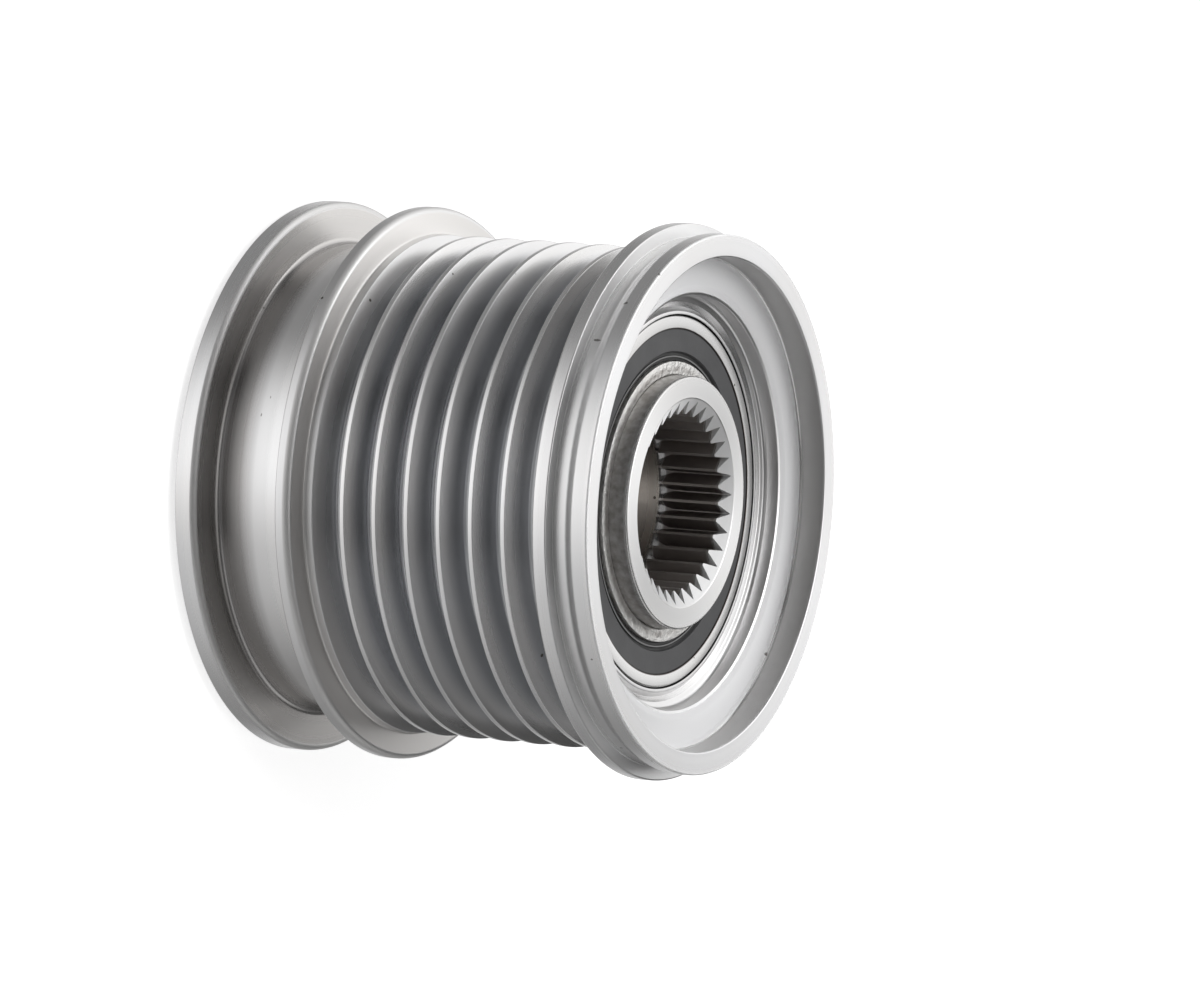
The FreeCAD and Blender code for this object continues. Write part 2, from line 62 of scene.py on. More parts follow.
SHARP_ANGLE = math.radians(25.0)
ROUNDING_SEGMENTS = 4
MERGE_DISTANCE = 1e-7
NOISE_RANGE = (0.3, 0.7)
BUMP_HEIGHT = 0.1
PATCH_SCALE = 1300.0
PATCH_RANGE = (0.1, 1.0)
WHOLE_HEIGHT = (-1.0, 60.0)
Colour = tuple[float, float, float]
Inputs = dict[str | int, object]


class Facing(Enum):
    """Which way along the axis a face looks."""

    FRONT = 1.0
    REAR = -1.0


class Body(Enum):
    """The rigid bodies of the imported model."""

    HUB = "hub"
    PULLEY = "pulley"


@dataclass(frozen=True)
class Corner:
    """One corner of a turned profile: its radius, its height and how far it is rounded, in mm."""

    radius: float
    height: float
    rounding: float = 0.0


# Shading


class NodeSheet:
    """A node tree with short ways to add to it."""

    def __init__(self, tree: bpy.types.NodeTree) -> None:
        """Keeps the tree."""
        self.tree = tree

    def add(self, kind: str, inputs: Inputs | None = None, **settings: object) -> bpy.types.Node:
        """Adds a shader node.

        Args:
            kind: The node's kind, such as Math.
            inputs: What its inputs take, as feed has them.
            settings: The node's own settings, such as its operation.

        Returns:
            The node.
        """
        node = self.tree.nodes.new("ShaderNode" + kind)
        for label, value in settings.items():
            setattr(node, label, value)
        return self.feed(node, inputs or {})

    def feed(self, node: bpy.types.Node, inputs: Inputs) -> bpy.types.Node:
        """Links or sets a node's inputs.

        Args:
            node: The node.
            inputs: A socket, a number, a vector or a colour of three parts for each input's name or place.

        Returns:
            The same node.
        """
        for label, value in inputs.items():
            if isinstance(value, bpy.types.NodeSocket):
                self.tree.links.new(value, node.inputs[label])
            else:
                node.inputs[label].default_value = (*value, 1.0) if isinstance(value, tuple) else value
        return node

    def place_effect(self, group: bpy.types.NodeTree, **values: float) -> bpy.types.Node:
        """Places an effect group with its own values, which are its inputs' names."""
        return self.add("Group", values, node_tree=group)

    def point(self) -> object:
        """Reads the place of a point on its own object."""
        return self.add("TexCoord").outputs["Object"]

    def point_parts(self) -> list[object]:
        """Reads the X, Y and Z of a point on its own object."""
        return list(self.add("SeparateXYZ", {0: self.point()}).outputs)

    def maths(self, operation: str, first: object, second: object = 0.0) -> object:
        """Works out one step from one or two sockets or numbers."""
        return self.add("Math", {0: first, 1: second}, operation=operation).outputs[0]

    def spread(self, noise: object, low: float, high: float) -> object:
        """Maps a noise reading around its middle onto two numbers.

        Args:
            noise: The noise socket.
            low: Result at a low reading.
            high: Result at a high reading.

        Returns:
            The mapped socket.
        """
        limits = {"Value": noise, "From Min": NOISE_RANGE[0], "From Max": NOISE_RANGE[1]}
        return self.add("MapRange", {**limits, "To Min": low, "To Max": high}).outputs["Result"]

    def soft_step(self, reading: object, start: float, end: float) -> object:
        """Steps softly from 0 at one reading to 1 at another.

        Args:
            reading: The socket that is read.
            start: The reading at which the result is 0.
            end: The reading at which it is 1.

        Returns:
            The result's socket.
        """
        limits = {"Value": reading, "From Min": start, "From Max": end}
        return self.add("MapRange", limits, interpolation_type="SMOOTHSTEP").outputs["Result"]

    def blend(self, factor: object, first: object, second: object) -> object:
        """Mixes two colours.

        Args:
            factor: The socket that says how much of the second is taken.
            first: A colour or colour socket.
            second: A colour or colour socket.

        Returns:
            The mixed colour socket.
        """
        node = self.add("Mix", {"Factor": factor}, data_type="RGBA")
        slots = [number for number, socket in enumerate(node.inputs) if socket.type == "RGBA"]
        self.feed(node, dict(zip(slots, (first, second))))
        return [socket for socket in node.outputs if socket.type == "RGBA"][0]

    def bump(self, source: object, strength: float, height: float = BUMP_HEIGHT) -> bpy.types.Node:
        """Adds a bump of a height in mm and returns its node."""
        return self.add("Bump", {"Height": source, "Strength": strength, "Distance": height * MM})


class EffectGroups:
    """Builds each shared effect once as a shader node group."""

    FACE_SHARE = 0.93
    BAND_SHARE = 0.16
    CLOUD_DETAIL = 3.0
    RAGGED_SCALE = 9000.0
    RAGGED_SHARE = 0.5
    NICK_STRENGTH = 0.8

    def __init__(self) -> None:
        """Makes the groups that the finishes place."""
        self.lathe_lines = self._lathe_lines()
        self.cloudiness = self._cloudiness()
        self.specks = self._specks()
        self.zone = self._zone()
        self.nick = self._nick()

    @staticmethod
    def _start(name: str, inputs: dict[str, float],
               outputs: list[str]) -> tuple[NodeSheet, bpy.types.NodeOutputs, bpy.types.Node]:
        """Makes an empty group with named number sockets.

        Args:
            name: The group's name.
            inputs: Input names with their default numbers.
            outputs: Output names.

        Returns:
            The group's sheet, the sockets that give its inputs and the node that takes its results.
        """
        tree = bpy.data.node_groups.new(name, "ShaderNodeTree")
        for label, default in inputs.items():
            socket = tree.interface.new_socket(name=label, in_out="INPUT", socket_type="NodeSocketFloat")
            socket.default_value = default
        for label in outputs:
            tree.interface.new_socket(name=label, in_out="OUTPUT", socket_type="NodeSocketFloat")
        given, result = tree.nodes.new("NodeGroupInput"), tree.nodes.new("NodeGroupOutput")
        return NodeSheet(tree), given.outputs, result

    @staticmethod
    def _radius_and_height(sheet: NodeSheet) -> tuple[object, object]:
        """Reads the distance from the axis and the height of a point, in metres.

        Args:
            sheet: The group's sheet.

        Returns:
            The radius socket and the height socket.
        """
        across, along, height = sheet.point_parts()
        squares = [sheet.maths("MULTIPLY", part, part) for part in (across, along)]
        return sheet.maths("SQRT", sheet.maths("ADD", *squares)), height

    def _lathe_lines(self) -> bpy.types.NodeTree:
        """Fine rings that a turning tool leaves, on faces and cylinders alike.

        Returns:
            The group's tree.
        """
        sheet, given, result = self._start("lathe_lines", {"Lines per metre": 2500.0}, ["Height", "Bands"])
        radius, height = self._radius_and_height(sheet)
        travel = sheet.maths("ADD", sheet.maths("MULTIPLY", radius, self.FACE_SHARE), height)
        count = sheet.maths("MULTIPLY", travel, given["Lines per metre"])
        for label, detail, share in (("Height", 2.0, 1.0), ("Bands", 1.0, self.BAND_SHARE)):
            inputs = {"W": count, "Scale": share, "Detail": detail}
            noise = sheet.add("TexNoise", inputs, noise_dimensions="1D")
            sheet.feed(result, {label: noise.outputs["Fac"]})
        return sheet.tree

    def _cloudiness(self) -> bpy.types.NodeTree:
        """Slow, soft variation of a surface.

        Returns:
            The group's tree.
        """
        sheet, given, result = self._start("cloudiness", {"Scale": 60.0}, ["Clouds"])
        inputs = {"Vector": sheet.point(), "Scale": given["Scale"], "Detail": self.CLOUD_DETAIL}
        sheet.feed(result, {"Clouds": sheet.add("TexNoise", inputs).outputs["Fac"]})
        return sheet.tree

    def _specks(self) -> bpy.types.NodeTree:
        """Sparse small pits and specks, one in a few of the cells of a cellular texture.

        Returns:
            The group's tree.
        """
        defaults = {"Cells per metre": 330.0, "Size": 0.06, "Share": 0.06}
        sheet, given, result = self._start("specks", defaults, ["Mask"])
        cells = sheet.add("TexVoronoi", {"Vector": sheet.point(), "Scale": given["Cells per metre"]})
        near = sheet.maths("LESS_THAN", cells.outputs["Distance"], given["Size"])
        draw = sheet.add("SeparateColor", {0: cells.outputs["Color"]}).outputs[0]
        chosen = sheet.maths("LESS_THAN", draw, given["Share"])
        sheet.feed(result, {"Mask": sheet.maths("MULTIPLY", near, chosen)})
        return sheet.tree

    def _zone(self) -> bpy.types.NodeTree:
        """A ring-shaped zone between two radii and two heights, with soft limits.

        Returns:
            The group's tree.
        """
        limits = {"Inner": 0.0, "Outer": 1.0, "Low": -1.0, "High": 1.0, "Softness": 0.0004}
        sheet, given, result = self._start("ring_zone", limits, ["Mask"])
        radius, height = self._radius_and_height(sheet)
        mask = 1.0
        for first, second in ((radius, given["Inner"]), (given["Outer"], radius),
                              (height, given["Low"]), (given["High"], height)):
            depth = sheet.maths("DIVIDE", sheet.maths("SUBTRACT", first, second), given["Softness"])
            mask = sheet.maths("MULTIPLY", mask, sheet.add("Clamp", {"Value": depth}).outputs[0])
        sheet.feed(result, {"Mask": mask})
        return sheet.tree

    def _nick(self) -> bpy.types.NodeTree:
        """One small mark with a ragged edge at a place of its own, which can be stretched along the axis.

        Returns:
            The group's tree.
        """
        defaults = {"X": 0.0, "Y": 0.0, "Z": 0.0, "Size": 0.0002, "Stretch": 1.0}
        sheet, given, result = self._start("nick", defaults, ["Mask"])
        total = 0.0
        for label, part in zip("XYZ", sheet.point_parts()):
            gap = sheet.maths("SUBTRACT", part, given[label])
            if label == "Z":
                gap = sheet.maths("DIVIDE", gap, given["Stretch"])
            total = sheet.maths("ADD", total, sheet.maths("MULTIPLY", gap, gap))
        noise = sheet.add("TexNoise", {"Vector": sheet.point(), "Scale": self.RAGGED_SCALE})
        edge = sheet.maths("ADD", noise.outputs["Fac"], self.RAGGED_SHARE)
        ragged = sheet.maths("MULTIPLY", given["Size"], edge)
        inside = sheet.maths("LESS_THAN", sheet.maths("SQRT", total), ragged)
        sheet.feed(result, {"Mask": sheet.maths("MULTIPLY", inside, self.NICK_STRENGTH)})
        return sheet.tree


# Finishes


@dataclass(frozen=True)
class RingZone:
    """A ring on the part with a colour laid over it, between two radii and two heights in mm.

    A roughness of 0 leaves the finish's own, and a patchy zone comes out in patches. Some zones give the
    metal's own tone and some paint shade or light into its colour.
    """

    where: str
    inner: float
    outer: float
    low: float
    high: float
    colour: Colour
    strength: float
    softness: float = 0.4
    roughness: float = 0.0
    patchy: bool = False

    def mask(self, sheet: NodeSheet, effects: EffectGroups) -> object:
        """Places the zone.

        Args:
            sheet: The material's sheet.
            effects: The shared effect groups.

        Returns:
            The socket that is 1 inside the zone and 0 outside.
        """
        placed = sheet.place_effect(effects.zone, Inner=self.inner * MM, Outer=self.outer * MM,
                                    Low=self.low * MM, High=self.high * MM, Softness=self.softness * MM)
        placed.label = self.where
        return placed.outputs[0]


@dataclass(frozen=True)
class Nick:
    """A small dent or scratch: its angle round the axis, radius, height and size, in degrees and mm."""

    angle: float
    radius: float
    height: float
    size: float
    along: float = 1.0

    def mask(self, sheet: NodeSheet, effects: EffectGroups) -> object:
        """Places the nick.

        Args:
            sheet: The material's sheet.
            effects: The shared effect groups.

        Returns:
            The socket that is above 0 inside the nick.
        """
        angle = math.radians(self.angle)
        return sheet.place_effect(effects.nick, X=-self.radius * math.cos(angle) * MM,
                                  Y=-self.radius * math.sin(angle) * MM, Z=self.height * MM,
                                  Size=self.size * MM, Stretch=self.along).outputs[0]


@dataclass(frozen=True)
class Finish:
    """What every finish has: a name, a colour, a roughness that changes by a share, and its zones."""

    name: str
    colour: Colour
    roughness: float
    gloss_change: float = 0.12
    zones: tuple[RingZone, ...] = ()

    def start(self) -> tuple[bpy.types.Material, NodeSheet, bpy.types.Node]:
        """Makes the material with the plain colour and roughness set.

        Returns:
            The material, its sheet and its surface shader node.
        """
        material = bpy.data.materials.new(self.name)
        material.use_nodes = True
        sheet = NodeSheet(material.node_tree)
        surface = sheet.tree.nodes["Principled BSDF"]
        return material, sheet, sheet.feed(surface, {"Base Color": self.colour, "Roughness": self.roughness})

    def paint_zones(self, sheet: NodeSheet, effects: EffectGroups, colour: object) -> object:
        """Lays each ring zone's colour over a colour.

        Args:
            sheet: The material's sheet.
            effects: The shared effect groups.
            colour: The colour socket that is painted over.

        Returns:
            The painted colour socket.
        """
        for zone in self.zones:
            amount = sheet.maths("MULTIPLY", zone.mask(sheet, effects), zone.strength)
            if zone.patchy:
                clouds = sheet.place_effect(effects.cloudiness, Scale=PATCH_SCALE)
                amount = sheet.maths("MULTIPLY", amount, sheet.spread(clouds.outputs[0], *PATCH_RANGE))
            colour = sheet.blend(amount, colour, zone.colour)
        return colour

    def roughen(self, sheet: NodeSheet, effects: EffectGroups, noise: object) -> object:
        """Works out the roughness from a noise and from the zones that have one of their own.

        Args:
            sheet: The material's sheet.
            effects: The shared effect groups.
            noise: The noise socket that the roughness follows.

        Returns:
            The roughness socket.
        """
        change = self.roughness * self.gloss_change
        rough = sheet.spread(noise, self.roughness - change, self.roughness + change)
        for zone in self.zones:
            if zone.roughness:
                more = sheet.maths("MULTIPLY", zone.mask(sheet, effects), zone.roughness - self.roughness)
                rough = sheet.maths("ADD", rough, more)
        return rough


@dataclass(frozen=True)
class TurnedMetal(Finish):
    """Bare metal from the lathe: satin, with rings, slow clouds, a few specks and its own nicks."""

    grooved: float = 0.5
    groove_turn: float = 0.25
    line_count: float = 2500.0
    line_depth: float = 0.02
    cloud_scale: float = 70.0
    cloud_share: float = 0.35
    band_shade: float = 0.88
    band_share: float = 0.45
    mottle: float = 0.0
    mottle_scale: float = 2200.0
    mottle_height: float = 0.2
    speck_share: float = 0.05
    tint: Colour = (0.60, 0.57, 0.54)
    speck_colour: Colour = (0.12, 0.11, 0.10)
    nicks: tuple[Nick, ...] = ()

    def build(self, effects: EffectGroups) -> bpy.types.Material:
        """Makes the material.

        Args:
            effects: The shared effect groups.

        Returns:
            The finished material.
        """
        material, sheet, surface = self.start()
        lines = sheet.place_effect(effects.lathe_lines, **{"Lines per metre": self.line_count})
        bands = lines.outputs["Bands"]
        around = sheet.add("VectorMath", {0: AXIS, 1: sheet.point()}, operation="CROSS_PRODUCT")
        relief = sheet.bump(lines.outputs["Height"], self.line_depth)
        if self.mottle:
            blotches = sheet.place_effect(effects.cloudiness, Scale=self.mottle_scale)
            pitted = sheet.bump(blotches.outputs[0], self.mottle, self.mottle_height)
            relief = sheet.feed(pitted, {"Normal": relief.outputs[0]})
        sheet.feed(surface, {
            "Metallic": 1.0, "Anisotropic": self.grooved, "Anisotropic Rotation": self.groove_turn,
            "Tangent": around.outputs["Vector"], "Normal": relief.outputs[0],
            "Base Color": self.paint(sheet, effects, bands), "Roughness": self.roughen(sheet, effects, bands),
        })
        return material

    def paint(self, sheet: NodeSheet, effects: EffectGroups, bands: object) -> object:
        """Mixes the metal's colour from clouds, bands, zones, specks and nicks.

        Args:
            sheet: The material's sheet.
            effects: The shared effect groups.
            bands: The socket of the lathe's slow bands.

        Returns:
            The colour socket.
        """
        clouds = sheet.place_effect(effects.cloudiness, Scale=self.cloud_scale)
        colour = sheet.blend(sheet.spread(clouds.outputs[0], 0.0, self.cloud_share), self.colour, self.tint)
        darker = tuple(self.band_shade * part for part in self.colour)
        colour = sheet.blend(sheet.spread(bands, 0.0, self.band_share), colour, darker)
        colour = self.paint_zones(sheet, effects, colour)
        specks = sheet.place_effect(effects.specks, Share=self.speck_share)
        colour = sheet.blend(specks.outputs["Mask"], colour, self.speck_colour)
        for nick in self.nicks:
            colour = sheet.blend(nick.mask(sheet, effects), colour, self.speck_colour)
        return colour


@dataclass(frozen=True)
class MouldedFinish(Finish):
    """Rubber or plastic from a mould, with a fine uneven skin."""

    gloss_change: float = 0.15
    grain: float = 0.08
    grain_scale: float = 2600.0
    dust: float = 0.15
    dust_scale: float = 420.0
    dust_gain: float = 1.7
    dust_lift: float = 0.01
    sheen_of_skin: float = 0.3

    def build(self, effects: EffectGroups) -> bpy.types.Material:
        """Makes the material.

        Args:
            effects: The shared effect groups.

        Returns:
            The finished material.
        """
        material, sheet, surface = self.start()
        clouds = sheet.place_effect(effects.cloudiness, Scale=self.dust_scale).outputs[0]
        fine = sheet.place_effect(effects.cloudiness, Scale=self.grain_scale).outputs[0]
        paler = tuple(min(1.0, part * self.dust_gain + self.dust_lift) for part in self.colour)
        colour = sheet.blend(sheet.spread(clouds, 0.0, self.dust), self.colour, paler)
        sheet.feed(surface, {
            "Specular IOR Level": self.sheen_of_skin, "Normal": sheet.bump(fine, self.grain).outputs[0],
            "Base Color": self.paint_zones(sheet, effects, colour),
            "Roughness": self.roughen(sheet, effects, clouds),
        })
        return material


# Turning


def as_object(name: str, shape: bmesh.types.BMesh) -> bpy.types.Object:
    """Makes an object of a shape and puts it in the scene.

    Args:
        name: The new object's name.
        shape: The shape, which is freed.

    Returns:
        The new object.
    """
    mesh = bpy.data.meshes.new(name)
    shape.to_mesh(mesh)
    shape.free()
    made = bpy.data.objects.new(name, mesh)
    bpy.context.scene.collection.objects.link(made)
    return made


class Lathe:
    """Turns closed profiles into solid rings about the part's axis."""

    def __init__(self, steps: int = 256) -> None:
        """Keeps how many steps make a full turn."""
        self.steps = steps

    def turn(self, name: str, corners: list[Corner]) -> bpy.types.Object:
        """Turns a closed profile, with its corners rounded, into a ring.

        Args:
            name: The new object's name.
            corners: The profile's corners in order.

        Returns:
            The new object.
        """
        shape = bmesh.new()
        points = [shape.verts.new((c.radius * MM, 0.0, c.height * MM)) for c in corners]
        for first, second in zip(points, points[1:] + points[:1]):
            shape.edges.new((first, second))
        for size in sorted({c.rounding for c in corners if c.rounding > 0.0}):
            chosen = [p for p, c in zip(points, corners) if c.rounding == size]
            bmesh.ops.bevel(shape, geom=chosen, offset=size * MM, offset_type="OFFSET",
                            segments=ROUNDING_SEGMENTS, profile=0.5, affect="VERTICES", material=-1)
        bmesh.ops.spin(shape, geom=shape.verts[:] + shape.edges[:], cent=(0.0, 0.0, 0.0), axis=AXIS,
                       angle=FULL_TURN, steps=self.steps, use_merge=True, use_duplicate=False)
        return self.finish(name, shape)

    @staticmethod
    def finish(name: str, shape: bmesh.types.BMesh) -> bpy.types.Object:
        """Cleans a shape, marks its sharp edges and makes it an object.

        Args:
            name: The new object's name.
            shape: The shape, which is freed.

        Returns:
            The new object.
        """
        bmesh.ops.remove_doubles(shape, verts=shape.verts[:], dist=MERGE_DISTANCE)
        bmesh.ops.recalc_face_normals(shape, faces=shape.faces[:])
        for face in shape.faces:
            face.smooth = True
        for edge in shape.edges:
            edge.smooth = edge.calc_face_angle(math.pi) < SHARP_ANGLE
        open_edges = sum(1 for edge in shape.edges if not edge.is_manifold)
        made = as_object(name, shape)
        weighted = made.modifiers.new("weighted_normals", "WEIGHTED_NORMAL")
        weighted.keep_sharp = True
        LOG.info("%s: %d faces, %d open edges", name, len(made.data.polygons), open_edges)
        return made


def dress(piece: bpy.types.Object, material: bpy.types.Material, slot: str, body: Body, *nodes: str) -> None:
    """Gives a piece its material and its place in the frame.

    Args:
        piece: The new piece.
        material: Its finish.
        slot: The name of a material slot; not used.
        body: The body that it rides on.
        nodes: The CAD nodes that it stands for.
    """
    piece.data.materials.clear()
    piece.data.materials.append(material)
    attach(piece, body.value)
    if nodes:
        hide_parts(*nodes)


# Pulley


@dataclass
class PulleyShell:
    """The turned pulley: flanges, plain track, seven belt grooves, cap rim and bearing recess."""

    rear_face: float = 1.0
    flange_radius: float = 27.65
    rear_land: float = 2.14
    rear_flank_run: float = 0.26
    flank_run: float = 0.85
    track_radius: float = 23.5
    track_width: float = 8.05
    middle_land: float = 1.45
    shoulder_run: float = 0.25
    shoulder_width: float = 0.93
    rib_radius: float = 24.95
    rib_pitch: float = 3.56
    groove_count: int = 7
    groove_opening: float = 3.07
    groove_depth: float = 3.0
    groove_angle: float = 40.0
    front_flange_radius: float = 27.5
    front_flank_run: float = 1.36
    front_land: float = 1.42
    cap_groove_radius: float = 26.15
    cap_groove_width: float = 1.5
    cap_ramp_run: float = 0.85
    cap_land_radius: float = 26.65
    cap_land_width: float = 1.65
    recess_radius: float = 24.4
    recess_depth: float = 2.95
    ledge_radius: float = 21.4
    mouth_radius: float = 20.5
    mouth_break: float = 0.35
    seat_depth: float = 2.1
    seat_radius: float = 18.5
    seat_wall_radius: float = 17.5
    bearing_width: float = 7.0
    rear_bearing_rear: float = 2.5
    stake_outer_radius: float = 19.8
    stake_root_radius: float = 19.3
    stake_depth: float = 0.42
    stake_shelf_rise: float = 0.21
    stake_bank_drop: float = 0.17
    stake_lip_width: float = 0.34
    stake_lip_height: float = 0.08
    edge_round: float = 0.16
    soft_round: float = 0.55
    fine_round: float = 0.06
    root_round: float = 0.6
    groove_root_round: float = 0.2

    def rim_face(self) -> float:
        """Height of the front rim."""
        return self.cap_land_start() + self.cap_land_width

    def cap_land_start(self) -> float:
        """Height where the cap land starts."""
        return self.front_land_front() + self.cap_groove_width + self.cap_ramp_run

    def front_land_front(self) -> float:
        """Height of the front flange's front edge."""
        return self.ribs_end() + self.front_flank_run + self.front_land

    def ribs_start(self) -> float:
        """Height where the first belt groove opens."""
        track_end = self.rear_face + self.rear_land + self.rear_flank_run + self.track_width
        return track_end + self.flank_run + self.middle_land + self.shoulder_run + self.shoulder_width

    def ribs_end(self) -> float:
        """Height where the last belt groove closes."""
        return self.ribs_start() + self.rib_pitch * (self.groove_count - 1) + self.groove_opening

    def ledge(self) -> float:
        """Height of the flat ring in the recess."""
        return self.rim_face() - self.recess_depth

    def outside(self) -> list[Corner]:
        """The outer corners from the rear face to the rim.

        Returns:
            The corners in order.
        """
        edge = self.edge_round
        land_front = self.rear_face + self.rear_land
        track_start = land_front + self.rear_flank_run
        track_end = track_start + self.track_width
        middle = track_end + self.flank_run
        corners = [
            Corner(self.flange_radius, self.rear_face, edge),
            Corner(self.flange_radius, land_front, self.soft_round),
            Corner(self.track_radius, track_start, self.root_round),
            Corner(self.track_radius, track_end, self.root_round),
            Corner(self.flange_radius, middle, edge),
            Corner(self.flange_radius, middle + self.middle_land, self.soft_round),
            Corner(self.rib_radius, middle + self.middle_land + self.shoulder_run, self.groove_root_round),
        ]
        slant = math.tan(math.radians(self.groove_angle / 2))
        half_floor = self.groove_opening / 2 - self.groove_depth * slant
        floor = self.rib_radius - self.groove_depth
        for groove in range(self.groove_count):
            centre = self.ribs_start() + self.rib_pitch * groove + self.groove_opening / 2
            corners += [
                Corner(self.rib_radius, centre - self.groove_opening / 2, self.fine_round),
                Corner(floor, centre - half_floor, self.groove_root_round),
                Corner(floor, centre + half_floor, self.groove_root_round),
                Corner(self.rib_radius, centre + self.groove_opening / 2, self.fine_round),
            ]
        front = self.front_land_front()
        corners += [
            Corner(self.front_flange_radius, front - self.front_land, edge),
            Corner(self.front_flange_radius, front, edge),
            Corner(self.cap_groove_radius, front, self.fine_round),
            Corner(self.cap_groove_radius, front + self.cap_groove_width, self.groove_root_round),
            Corner(self.cap_land_radius, self.cap_land_start(), self.groove_root_round),
            Corner(self.cap_land_radius, self.rim_face(), edge),
        ]
        return corners

    def staked_seat(self, face: float, facing: Facing, mouth_top: float) -> list[Corner]:
        """The staked lip of a bearing seat, from the seat wall out to the mouth.

        Args:
            face: Height of the bearing's outer face.
            facing: Which way that face looks.
            mouth_top: Height where the mouth wall ends.

        Returns:
            The corners in order.
        """
        way = facing.value
        shelf = face + self.stake_shelf_rise * way
        lip_top = face + self.stake_lip_height * way
        return [
            Corner(self.seat_radius, lip_top, self.fine_round),
            Corner(self.seat_radius + self.stake_lip_width, lip_top, self.fine_round),
            Corner(self.stake_root_radius, face - self.stake_depth * way, self.fine_round),
            Corner(self.stake_outer_radius, shelf - self.stake_bank_drop * way, self.fine_round),
            Corner(self.mouth_radius, shelf, self.mouth_break),
            Corner(self.mouth_radius, mouth_top, self.fine_round),
        ]

    def inside(self) -> list[Corner]:
        """The inner corners from the rim back to the rear face.

        Returns:
            The corners in order.
        """
        front_bearing = self.ledge() - self.seat_depth
        rear_face = self.rear_bearing_rear
        corners = [
            Corner(self.recess_radius, self.rim_face(), self.edge_round),
            Corner(self.recess_radius, self.ledge(), self.root_round),
            Corner(self.ledge_radius, self.ledge(), self.edge_round),
        ]
        corners += reversed(self.staked_seat(front_bearing, Facing.FRONT, self.ledge() - self.mouth_break))
        corners += [
            Corner(self.seat_radius, front_bearing - self.bearing_width),
            Corner(self.seat_wall_radius, front_bearing - self.bearing_width, self.edge_round),
            Corner(self.seat_wall_radius, rear_face + self.bearing_width, self.edge_round),
            Corner(self.seat_radius, rear_face + self.bearing_width),
        ]
        corners += self.staked_seat(rear_face, Facing.REAR, self.rear_face + self.mouth_break)
        corners.append(Corner(self.mouth_radius + self.mouth_break, self.rear_face, self.fine_round))
        return corners

    def build(self, lathe: Lathe) -> bpy.types.Object:
        """Turns the pulley."""
        return lathe.turn("pulley_body", self.outside() + self.inside())


# Hub


